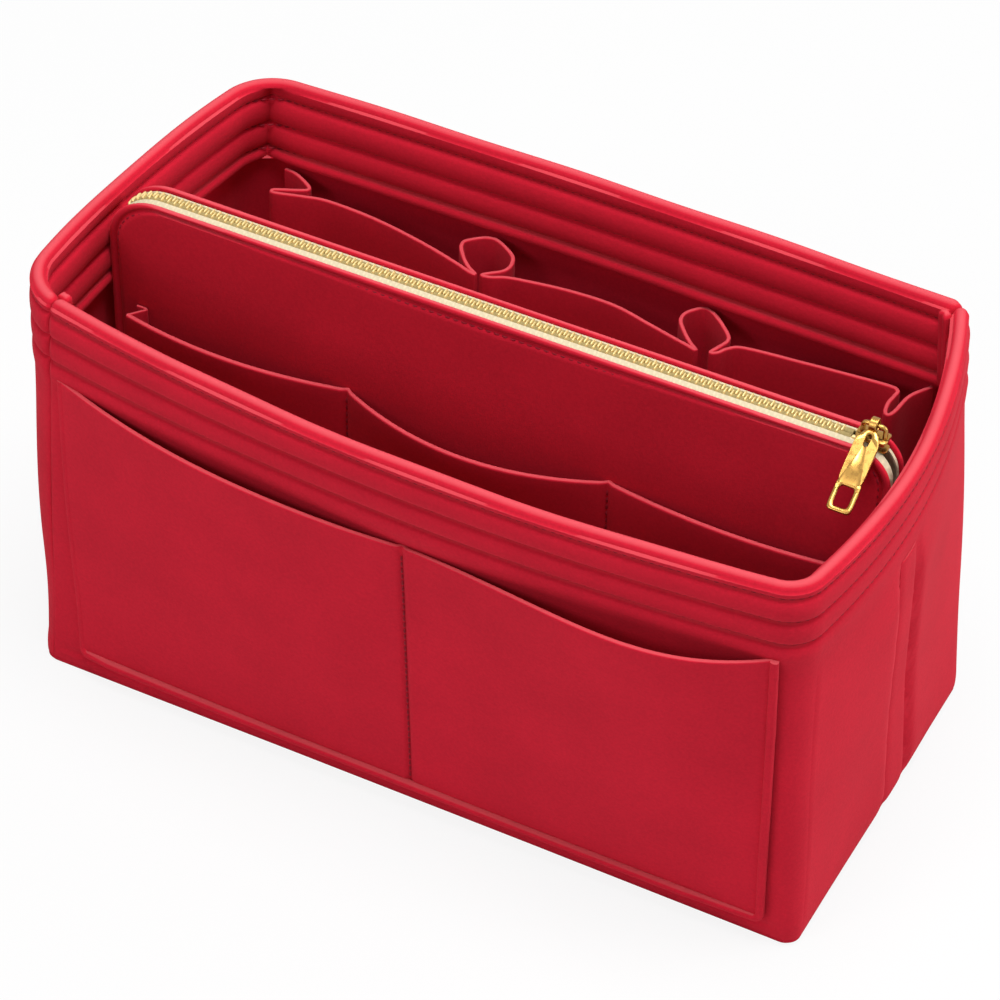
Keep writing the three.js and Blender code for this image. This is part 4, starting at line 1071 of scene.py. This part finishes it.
def zip_stops(pouch):
    """Metal stops: one across both rows at the left end and one on each tape at the right end."""
    before, sunk, past, half = 1.2 * MM, 0.6 * MM, 1.5 * MM, 0.6 * MM
    low = pouch.zip_point(pouch.zip_start - before, pouch.chain_y, -sunk)
    parts = [rounded_block(low, (1.3 * MM, pouch.chain_half, 1.5 * MM))]
    for side in (-1, 1):
        y = pouch.chain_y + side * (pouch.chain_half - half)
        spot = pouch.zip_point(pouch.straights[1] - past, y, 0.0)
        parts.append(rounded_block(spot, (1.5 * MM, half, 1.3 * MM)))
    return parts


def slider_place():
    """Middle of the slider, the levels of its top plate and the top of its bail, from the solids."""
    low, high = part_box("slider_top_plate")
    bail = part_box("slider_bail")
    return (low[0] + high[0]) / 2, (low[1] + high[1]) / 2, low[2], high[2], bail[1][2]


def slider_body():
    """Slider: a waisted top plate with turned-down flanges, and a flat plate below the teeth.

    The outline's half width is wide at both ends and narrower at the waist, and the plate is crowned.
    The flanges stop short of both ends, where the teeth pass in and out.
    """
    x, y, low, high, _ = slider_place()
    long, wide, waist, taper, blunt = 5.5 * MM, 3.65 * MM, 0.6 * MM, 0.3 * MM, 0.55
    channel, plate, crown, shoulder = 2.65 * MM, 1.2 * MM, 0.9 * MM, 0.75
    edge_in, flange, seat, lip_start, lip_length = 0.12 * MM, 0.5 * MM, 0.05 * MM, 0.86, 0.07
    share = np.linspace(-1, 1, 31)
    end = np.sqrt(np.clip(1 - np.abs(share) ** 7, 0, 1))
    half = wide - waist * np.cos(share * math.pi / 2) ** 2 - taper * share
    half = (half * lerp(blunt, 1, end))[:, None]
    turn = quarter(6)
    spread = np.concatenate([np.cos(turn), [0.5, 0.0, -0.5], -np.cos(turn)[::-1]])
    rise = np.concatenate([np.sin(turn) * shoulder, [0.9, 1.0, 0.9], np.sin(turn)[::-1] * shoulder])
    outer_y = half * spread
    outer_z = np.broadcast_to(high - crown + crown * rise, outer_y.shape)
    edge, ends = half - edge_in, np.minimum(channel, half - flange)
    inner_y = np.concatenate([-edge, -ends, -ends, ends, ends, edge], axis=1)
    under = np.full(share.shape, high - plate)
    lip = lerp(low, under - seat, ramp(np.abs(share) - lip_start, lip_length))
    level = np.stack([lip, lip, under, under, lip, lip], axis=1)
    ys, zs = np.concatenate([outer_y, inner_y], axis=1), np.concatenate([outer_z, level], axis=1)
    xs = np.broadcast_to(x + share[:, None] * long, ys.shape)
    bottom = np.array(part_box("slider_bottom_plate"))
    bottom[1, 2] -= 0.3 * MM
    lower = rounded_block(bottom.mean(axis=0), (bottom[1] - bottom[0]) / 2, power=6.0)
    return [swept(np.stack([xs, y + ys, zs], axis=-1)), lower]


def slider_bail():
    """Bail: a strap that rises from the plate, runs flat over the tab's eye and comes down again."""
    x, y, _, high, top = slider_place()
    half, reach, radius, foot, spread = BAIL_HALF, 4.0 * MM, 1.6 * MM, 0.3 * MM, 0.9
    bar, root = top - half, high - foot
    line = u_line((-reach, reach), bar, (root, root), radius, counts=(4, 9, 9), way=-1)
    normal = sideways(line)
    angle = circle(16)
    wide = half * (1 + spread * ramp(bar - 1.2 * MM - line[:, 1:2], 2 * MM))
    out = half * np.sin(angle)
    xs, zs = x + line[:, 0:1] + out * normal[:, 0:1], line[:, 1:2] + out * normal[:, 1:2]
    return swept(np.stack([xs, y + wide * np.cos(angle), zs], axis=-1))


def framed_plate(outer, inner, thickness):
    """Flat plate between an outer and an inner outline, with rounded edges, as rings round its section."""
    half, bevel, belly, drop = thickness / 2, 0.35 * MM, 0.4, 0.45
    reach = unit(outer - (outer + inner) / 2) * bevel
    step = np.array([0.0, 0.3, 1.0])
    back = (1 - step) * (1 - step * belly)
    high = half * (1 - drop * step)
    edges = [(outer, -reach, back, high), (outer, -reach, back[::-1], -high[::-1])]
    edges += [(inner, reach, back, -high), (inner, reach, back[::-1], high[::-1])]
    rings = [line[:, None, :] + way[:, None, :] * b[None, :, None] for line, way, b, _ in edges]
    flat = np.concatenate(rings, axis=1)
    level = np.concatenate([h for *_, h in edges])
    deep = np.broadcast_to(level[None, :, None], flat.shape[:2] + (1,))
    return swept(np.concatenate([flat, deep], axis=-1), closed=True)


def squared(half_width, low, high, power):
    """Rounded rectangle about its own middle: a superellipse at equal angles."""
    c, s = superellipse(circle(96), power)
    return np.stack([half_width * c, (low + high) / 2 + (high - low) / 2 * s], axis=-1)


def pull_tab():
    """Pull tab in its own plane (width, way down), laid over the pouch's front edge.

    A tapered plate with a slot, a frame round a window at its free end, and an eye round the bail.
    """
    s = sizes()
    x, y, _, _, top = slider_place()
    wide, long, droop = s.tab_width / 2, s.tab_length, math.radians(31)
    neck, narrow, taper_long, lap, frame_long = 2.3 * MM, 0.52, 6.0 * MM, 1.7 * MM, 11.4 * MM
    slot_half, slot_low, slot_high = 0.9 * MM, 3.8 * MM, 8.2 * MM
    window_half, window_long, bar = 2.7 * MM, 9.2 * MM, 1.7 * MM
    plate_thick, frame_thick = 1.4 * MM, 1.36 * MM
    frame_top = long - frame_long
    upper = squared(wide, neck, frame_top + lap, power=7.0)
    taper = ramp(upper[:, 1] - neck, taper_long)
    upper[:, 0] *= lerp(narrow, 1, np.sin(taper * math.pi / 2))
    slot = squared(slot_half, slot_low, slot_high, power=3.0)
    lower = squared(wide, frame_top, long, power=7.0)
    window = squared(window_half, long - window_long, long - bar, power=6.0)
    parts = [framed_plate(upper, slot, plate_thick), framed_plate(lower, window, frame_thick)]
    ring = circle(32)[:, None]
    across = np.array([-1.3, -1.1, 1.1, 1.3, 1.3, 1.1, -1.1, -1.3])[None, :] * MM
    far = np.array([2.4, 2.62, 2.62, 2.4, 1.75, 1.53, 1.53, 1.75])[None, :] * MM
    eye = np.stack(np.broadcast_arrays(across, far * np.sin(ring), far * np.cos(ring)), axis=-1)
    parts.append(swept(eye, closed=True))
    down = np.array([0.0, -math.cos(droop), -math.sin(droop)])
    out = np.array([0.0, -math.sin(droop), math.cos(droop)])
    axes = np.stack([np.array([1.0, 0.0, 0.0]), down, out])
    return [(points @ axes + np.array([x, y, top - BAIL_HALF]), faces) for points, faces in parts]


# Materials


def add(tree, kind, inputs=None, **settings):
    """Adds a node, sets its properties and inputs, and links the inputs that are given as sockets."""
    made = tree.nodes.new(kind)
    for name, value in settings.items():
        setattr(made, name, value)
    for name, value in (inputs or {}).items():
        if isinstance(value, bpy.types.NodeSocket):
            tree.links.new(value, made.inputs[name])
        else:
            made.inputs[name].default_value = value
    return made


def new_material(name):
    """An empty material with its tree and its Object coordinates."""
    material = bpy.data.materials.new(name)
    material.use_nodes = True
    material.node_tree.nodes.clear()
    return material, material.node_tree, add(material.node_tree, "ShaderNodeTexCoord").outputs["Object"]


def paler(tint, share):
    """A colour part of the way to white."""
    return (*(lerp(c, 1.0, share) for c in tint[:3]), 1.0)


def scaled(tint, share):
    """A colour made darker or lighter by a share."""
    return (*(min(1.0, share * c) for c in tint[:3]), 1.0)


def noise(tree, place, millimetres, detail, roughness):
    """Noise whose features are about so many millimetres across."""
    inputs = {"Vector": place, "Scale": 1 / (millimetres * MM), "Detail": detail, "Roughness": roughness}
    return add(tree, "ShaderNodeTexNoise", inputs).outputs["Fac"]


def bands(tree, place, millimetres, distortion, direction):
    """Stripes across a direction, at a scale of so many millimetres."""
    inputs = {"Vector": place, "Scale": 1 / (millimetres * MM), "Distortion": distortion}
    return add(tree, "ShaderNodeTexWave", inputs, bands_direction=direction).outputs["Fac"]


def worked(tree, operation, *values):
    """Result of a calculation with two or three values."""
    return add(tree, "ShaderNodeMath", dict(enumerate(values)), operation=operation).outputs[0]


def ranged(tree, value, low, high, least=0.0, most=1.0):
    """A value taken from the range between low and high to that between least and most."""
    inputs = {"Value": value, "From Min": low, "From Max": high, "To Min": least, "To Max": most}
    return add(tree, "ShaderNodeMapRange", inputs).outputs[0]


def mixed(tree, share, first, second):
    """Mix of two colours at a share."""
    inputs = {0: share, 6: first, 7: second}
    return add(tree, "ShaderNodeMix", inputs, data_type="RGBA").outputs[2]


def height_of(tree, vector):
    """The upward part of a vector."""
    return add(tree, "ShaderNodeSeparateXYZ", {0: vector}).outputs["Z"]


def bumped(tree, height, strength, millimetres, under=None):
    """Normals of a relief so many millimetres deep, over those of another relief where one is given."""
    inputs = {"Height": height, "Strength": strength, "Distance": millimetres * MM}
    if under:
        inputs["Normal"] = under
    return add(tree, "ShaderNodeBump", inputs).outputs[0]


def surfaced(tree, inputs):
    """Ends a material's tree with a Principled surface."""
    surface = add(tree, "ShaderNodeBsdfPrincipled", inputs).outputs[0]
    add(tree, "ShaderNodeOutputMaterial", {"Surface": surface})


def needle_felt(name, tint):
    """Needle-punched polyester felt: matted fibres give a soft matt face and faint mottling.

    Single fibres of 0.03 mm are too fine to show, so the matting is drawn as clumps of 1.2 mm. Faces that
    look upwards are paler: a painted highlight of the light from above, left off near the floor.
    """
    material, tree, place = new_material(name)
    clumps = noise(tree, place, 1.2, 4.0, 0.62)
    clouds = noise(tree, place, 28, 2.0, 0.5)
    fibres = noise(tree, place, 0.5, 3.0, 0.7)
    both = worked(tree, "MULTIPLY_ADD", clouds, 0.4, worked(tree, "MULTIPLY", clumps, 0.6))
    tone = mixed(tree, ranged(tree, both, 0.34, 0.66), scaled(tint, 0.88), scaled(tint, 1.08))
    # Painted highlight: faces that look upwards, above the floor clearance, are mixed towards a paler
    # felt.
    facing = add(tree, "ShaderNodeNewGeometry").outputs["Normal"]
    edge = ranged(tree, height_of(tree, facing), 0.7, 1.0)
    above = worked(tree, "GREATER_THAN", height_of(tree, place), FLOOR_CLEAR)
    tone = mixed(tree, worked(tree, "MULTIPLY", edge, above), tone, paler(tint, 0.055))
    relief = bumped(tree, fibres, 0.25, 0.2, bumped(tree, clumps, 0.22, 0.35))
    surfaced(tree, {
        "Base Color": tone, "Roughness": 0.95, "Specular IOR Level": 0.06, "Sheen Weight": 0.07,
        "Sheen Roughness": 0.5, "Sheen Tint": (1.0, 0.4, 0.42, 1.0), "Normal": relief
    })
    return material


def sewing_thread(name, tint):
    """Spun polyester thread: twisted plies about 0.5 mm apart, a little glossier than the felt."""
    material, tree, place = new_material(name)
    plies = bands(tree, place, 3.2, 1.5, "DIAGONAL")
    tone = mixed(tree, plies, scaled(tint, 0.8), tuple(tint))
    relief = bumped(tree, plies, 0.4, 0.1)
    surfaced(tree, {"Base Color": tone, "Roughness": 0.7, "Specular IOR Level": 0.2, "Normal": relief})
    return material


def woven_tape(name, tint):
    """Woven polyester zip tape: herringbone ribs about 0.8 mm apart, coarser than real to show."""
    material, tree, place = new_material(name)
    ribs, cross = (bands(tree, place, 5.0, 0.4, direction) for direction in ("DIAGONAL", "X"))
    weave = worked(tree, "MULTIPLY", ribs, cross)
    tone = mixed(tree, weave, scaled(tint, 0.88), tuple(tint))
    relief = bumped(tree, weave, 0.5, 0.15)
    surfaced(tree, {"Base Color": tone, "Roughness": 0.85, "Specular IOR Level": 0.2, "Normal": relief})
    return material


def polished_brass(name, tint):
    """Polished pale brass: a warm mirror with soft wear that roughens it in patches of about 2 mm."""
    material, tree, place = new_material(name)
    wear = noise(tree, place, 2.0, 3.0, 0.5)
    rough = ranged(tree, wear, 0.3, 0.7, 0.2, 0.36)
    relief = bumped(tree, wear, 0.08, 0.1)
    surfaced(tree, {"Base Color": tuple(tint), "Metallic": 1.0, "Roughness": rough, "Normal": relief})
    return material


def tumbled_brass(name, tint):
    """Tumbled pale brass of small pressed teeth: a soft, even gold sheen without clear reflections."""
    material, tree, _ = new_material(name)
    surfaced(tree, {"Base Color": tuple(tint), "Metallic": 1.0, "Roughness": 0.55})
    return material


def seen_directly(tree):
    """One for rays from the camera and for mirrored or passing rays, else zero."""
    path = add(tree, "ShaderNodeLightPath").outputs
    seen = worked(tree, "MAXIMUM", path["Is Camera Ray"], path["Is Glossy Ray"])
    return worked(tree, "MAXIMUM", seen, path["Is Transmission Ray"])


def studio_floor(name, tint):
    """Painted board: plain and matt, shown almost white so that only a soft shadow marks it."""
    material, tree, _ = new_material(name)
    paint = add(tree, "ShaderNodeBsdfDiffuse", {"Color": tuple(tint)}).outputs[0]
    white = add(tree, "ShaderNodeEmission", {"Color": WHITE, "Strength": 1.0}).outputs[0]
    share = worked(tree, "MULTIPLY", seen_directly(tree), 0.88)
    both = add(tree, "ShaderNodeMixShader", {0: share, 1: paint, 2: white})
    add(tree, "ShaderNodeOutputMaterial", {"Surface": both.outputs[0]})
    return material


# Finish: how it is made, the material's name, and the record's slot
MATERIALS = {
    "wall_felt": (needle_felt, "needle-punched felt, wall", "wall_felt"),
    "pocket_felt": (needle_felt, "needle-punched felt, pocket", "pocket_felt"),
    "pouch_felt": (needle_felt, "needle-punched felt, pouch", "pouch_felt"),
    "thread": (sewing_thread, "spun polyester thread", "wall_felt"),
    "tape": (woven_tape, "woven polyester tape", "zip_tape"),
    "cord": (woven_tape, "woven polyester cord", "zip_tape"),
    "brass": (polished_brass, "polished brass", "zip_brass"),
    "teeth": (tumbled_brass, "tumbled brass", "zip_brass"),
    "floor": (studio_floor, "painted board", None),
}


def finish_of(key):
    """The material for a finish, made once."""
    make, name, _ = MATERIALS[key]
    return bpy.data.materials.get(name) or make(name, tuple(getattr(colours(), key)))


def posed(axes, place):
    """World matrix from three axes and a place."""
    top = np.concatenate([np.stack(axes, axis=1), np.asarray(place)[:, None]], axis=1)
    return Matrix(np.concatenate([top, [[0.0, 0.0, 0.0, 1.0]]]).tolist())


# Operators


class ORGANIZER_OT_box(bpy.types.Operator):
    """Felt walls with their rolled hem, base, seams and lap strips"""

    bl_idname = "organizer.box"
    bl_label = "Felt box"

    def execute(self, context):
        s, walls, body = sizes(), Walls(), "organizer_box"
        first, second = SEAMS["front_left_seam"], SEAMS["back_right_seam"]
        base = put_piece("base_felt", [base_panel(walls)], "wall_felt", body, ["base_panel"])
        rows = []
        for name, ends in (("front_right_wall", (first, second)), ("back_left_wall", (second, first + 8))):
            wall = put_piece(name + "_felt", [wall_strip(walls, *ends)], "wall_felt", body, [name])
            run = walls.rim_run(np.linspace(*ends, 400))[-1]
            rows.extend(row_lines(walls, *ends))
        for name, u in SEAMS.items():
            seam = put_piece(name + "_felt", [corner_seam(walls, u)], "wall_felt", body, [name])
        for name, side in (("right_end_strip", 1), ("left_end_strip", 3)):
            strip = put_piece(name + "_felt", [end_strip(walls, side)], "wall_felt", body, [name])
        put_piece("hem_stitching", rows, "thread", body)
        return {"FINISHED"}


class ORGANIZER_OT_outer_pocket(bpy.types.Operator):
    """Pocket on the outside of the front wall, with its bound edge and middle seam"""

    bl_idname = "organizer.outer_pocket"
    bl_label = "Outer pocket"

    def execute(self, context):
        s, walls, body = sizes(), Walls(), "organizer_box"
        names = ["outer_pocket_left", "outer_pocket_right"]
        pocket = put_piece("outer_pocket_felt", [outer_pocket(walls)], "pocket_felt", body, names)
        names = ["outer_pocket_welt_left", "outer_pocket_welt_right", "outer_pocket_welt_bottom"]
        welt = put_piece("outer_pocket_welt_felt", [pocket_welt(walls)], "pocket_felt", body, names)
        z = np.linspace(POCKET_BOTTOM + 2 * MM, s.outer_mouth - SEAM_DROP - 4 * MM, 60)
        u = walls.side_u(0, POCKET_ENDS[1] + lerp(*SEAM_LEAN, z / s.outer_mouth), z)
        sunk = 0.55 * MM
        n = walls.half + s.pocket_felt - sunk + wall_waves(walls, u, z)
        rows = [stitches(walls.point(u, z, n), walls.normal(u, z))]
        put_piece("outer_pocket_stitching", rows, "thread", body)
        return {"FINISHED"}


class ORGANIZER_OT_back_strip(bpy.types.Operator):
    """Pleated pocket strip with pen loops on the inside of the back wall"""

    bl_idname = "organizer.back_strip"
    bl_label = "Back pockets and pen loops"

    def execute(self, context):
        s, walls, body = sizes(), Walls(), "organizer_box"
        names = ["back_pocket_left", "back_pocket_middle", "back_pocket_right"]
        names += ["pen_loop_left", "pen_loop_right", "back_pocket_pleat", "back_pocket_gusset"]
        strip = put_piece("back_pocket_strip_felt", [back_strip(walls)], "pocket_felt", body, names)
        put_piece("back_pocket_stitching", loop_stitches(walls), "thread", body)
        return {"FINISHED"}


class ORGANIZER_OT_pouch(bpy.types.Operator):
    """Felt pouch that stands in the middle, with its front pocket"""

    bl_idname = "organizer.pouch"
    bl_label = "Pouch"

    def execute(self, context):
        s, pouch, body = sizes(), Pouch(), "zip_pouch"
        for name, face, way in (("front", pouch.front, -1), ("back", pouch.back, 1)):
            parts = [pouch_panel(pouch, face, way)]
            panel = put_piece(f"pouch_{name}_felt", parts, "pouch_felt", body, [f"pouch_{name}_panel"])
        names = ["pouch_bottom_gusset", "pouch_left_gusset", "pouch_right_gusset"]
        gusset = put_piece("pouch_gusset_felt", [pouch_gusset(pouch)], "pouch_felt", body, names)
        names = ["pouch_pocket_left", "pouch_pocket_middle", "pouch_pocket_right"]
        pocket = put_piece("pouch_pocket_felt", [pouch_pocket(pouch)], "pouch_felt", body, names)
        pleat = put_piece("pouch_pocket_pleat_felt", [pouch_pleat(pouch)], "pouch_felt", body)
        put_piece("pouch_stitching", pouch_stitches(pouch), "thread", body)
        return {"FINISHED"}


class ORGANIZER_OT_zip(bpy.types.Operator):
    """Zip tapes, teeth, stops, slider and pull tab"""

    bl_idname = "organizer.zip"
    bl_label = "Zip"

    def execute(self, context):
        pouch, body = Pouch(), "zip_pouch"
        for name, side in (("front", -1), ("back", 1)):
            nodes = [f"zip_tape_{name}"]
            tape = put_piece(f"zip_tape_{name}_woven", [zip_tape(pouch, side)], "tape", body, nodes)
            cord = put_piece(f"zip_cord_{name}_woven", [zip_cord(pouch, side)], "cord", body)
            teeth = [zip_teeth(pouch, side)]
            put_piece(f"zip_teeth_{name}_brass", teeth, "teeth", body, [f"zip_teeth_{name}"])
        stops = ["zip_bottom_stop", "zip_top_stop_front", "zip_top_stop_back"]
        put_piece("zip_stops_brass", zip_stops(pouch), "teeth", body, stops)
        plates = ["slider_top_plate", "slider_bottom_plate"]
        put_piece("slider_brass", slider_body(), "brass", "zip_slider", plates)
        put_piece("slider_bail_brass", [slider_bail()], "brass", "zip_slider", ["slider_bail"])
        put_piece("pull_tab_brass", pull_tab(), "brass", "zip_pull", ["pull_tab"])
        return {"FINISHED"}


class ORGANIZER_OT_stage(bpy.types.Operator):
    """Pale floor, soft studio light and the camera"""

    bl_idname = "organizer.stage"
    bl_label = "Stage"

    def execute(self, context):
        self.floor(context)
        for name, values in LIGHTS.items():
            self.lamp(context, name, *values)
        self.sky(context)
        self.camera(context)
        return {"FINISHED"}

    def floor(self, context):
        """Wide flat floor under the organizer."""
        ways = ((-1, -1), (1, -1), (1, 1), (-1, 1))
        corners = [(x * FLOOR_REACH, y * FLOOR_REACH, 0.0) for x, y in ways]
        mesh = bpy.data.meshes.new("studio_floor")
        mesh.from_pydata(corners, [], [(0, 1, 2, 3)])
        mesh.materials.append(finish_of("floor"))
        floor = bpy.data.objects.new("studio_floor", mesh)
        context.scene.collection.objects.link(floor)

    def lamp(self, context, name, place, aim, size, power):
        """Round soft light at a place, turned to a height over the frame's origin."""
        data = bpy.data.lights.new(name, "AREA")
        data.shape = "DISK"
        data.size = size
        data.energy = power
        lamp = bpy.data.objects.new(name, data)
        context.scene.collection.objects.link(lamp)
        back = unit(np.array(place) - np.array([0.0, 0.0, aim]))
        right = unit(np.cross([0.0, 0.0, 1.0], back))
        lamp.matrix_world = posed([right, np.cross(back, right), back], place)

    def sky(self, context):
        """White surroundings: full white where they are seen, a soft fill elsewhere."""
        world = bpy.data.worlds.new("studio_white")
        world.use_nodes = True
        tree = world.node_tree
        tree.nodes.clear()
        strength = ranged(tree, seen_directly(tree), 0.0, 1.0, SKY_FILL)
        back = add(tree, "ShaderNodeBackground", {"Color": WHITE, "Strength": strength})
        add(tree, "ShaderNodeOutputWorld", {"Surface": back.outputs[0]})
        context.scene.world = world

    def camera(self, context):
        """Camera of the photograph, from its turn, lift, roll and place."""
        data = bpy.data.cameras.new("photo_camera")
        data.sensor_width = SENSOR_WIDTH
        data.lens = LENS
        data.clip_end = CLIP_END
        camera = bpy.data.objects.new("photo_camera", data)
        context.scene.collection.objects.link(camera)
        turn, lift, roll = (math.radians(v) for v in CAMERA_ANGLES)
        right = np.array([math.cos(turn), math.sin(turn), 0.0])
        away = math.cos(lift)
        back = np.array([math.sin(turn) * away, -math.cos(turn) * away, math.sin(lift)])
        up = np.cross(back, right)
        c, s = math.cos(roll), math.sin(roll)
        camera.matrix_world = posed([c * right + s * up, c * up - s * right, back], CAMERA_PLACE)
        context.scene.camera = camera
        context.scene.view_settings.view_transform = "Standard"


class ORGANIZER_PT_panel(bpy.types.Panel):
    """Lists the steps that build the organizer"""

    bl_idname = "ORGANIZER_PT_panel"
    bl_label = "Felt organizer"
    bl_space_type = "VIEW_3D"
    bl_region_type = "UI"
    bl_category = "Organizer"

    def draw(self, context):
        for step in STEPS:
            self.layout.operator(step.bl_idname)
        for group in (context.scene.organizer_sizes, context.scene.organizer_colours):
            column = self.layout.column()
            for field in group.bl_rna.properties.keys():
                if field not in {"rna_type", "name"}:
                    column.prop(group, field)


STEPS = (
    ORGANIZER_OT_box,
    ORGANIZER_OT_outer_pocket,
    ORGANIZER_OT_back_strip,
    ORGANIZER_OT_pouch,
    ORGANIZER_OT_zip,
    ORGANIZER_OT_stage,
)
CLASSES = (OrganizerSizes, OrganizerColours, *STEPS, ORGANIZER_PT_panel)


def register():
    """Registers the classes and their settings."""
    for item in CLASSES:
        bpy.utils.register_class(item)
    bpy.types.Scene.organizer_sizes = bpy.props.PointerProperty(type=OrganizerSizes)
    bpy.types.Scene.organizer_colours = bpy.props.PointerProperty(type=OrganizerColours)


def unregister():
    """Removes the settings and the classes."""
    del bpy.types.Scene.organizer_colours
    del bpy.types.Scene.organizer_sizes
    for item in reversed(CLASSES):
        bpy.utils.unregister_class(item)


def main():
    register()
    bpy.ops.organizer.box()
    bpy.ops.organizer.outer_pocket()
    bpy.ops.organizer.back_strip()
    bpy.ops.organizer.pouch()
    bpy.ops.organizer.zip()
    bpy.ops.organizer.stage()


if __name__ == "__main__":
    main()
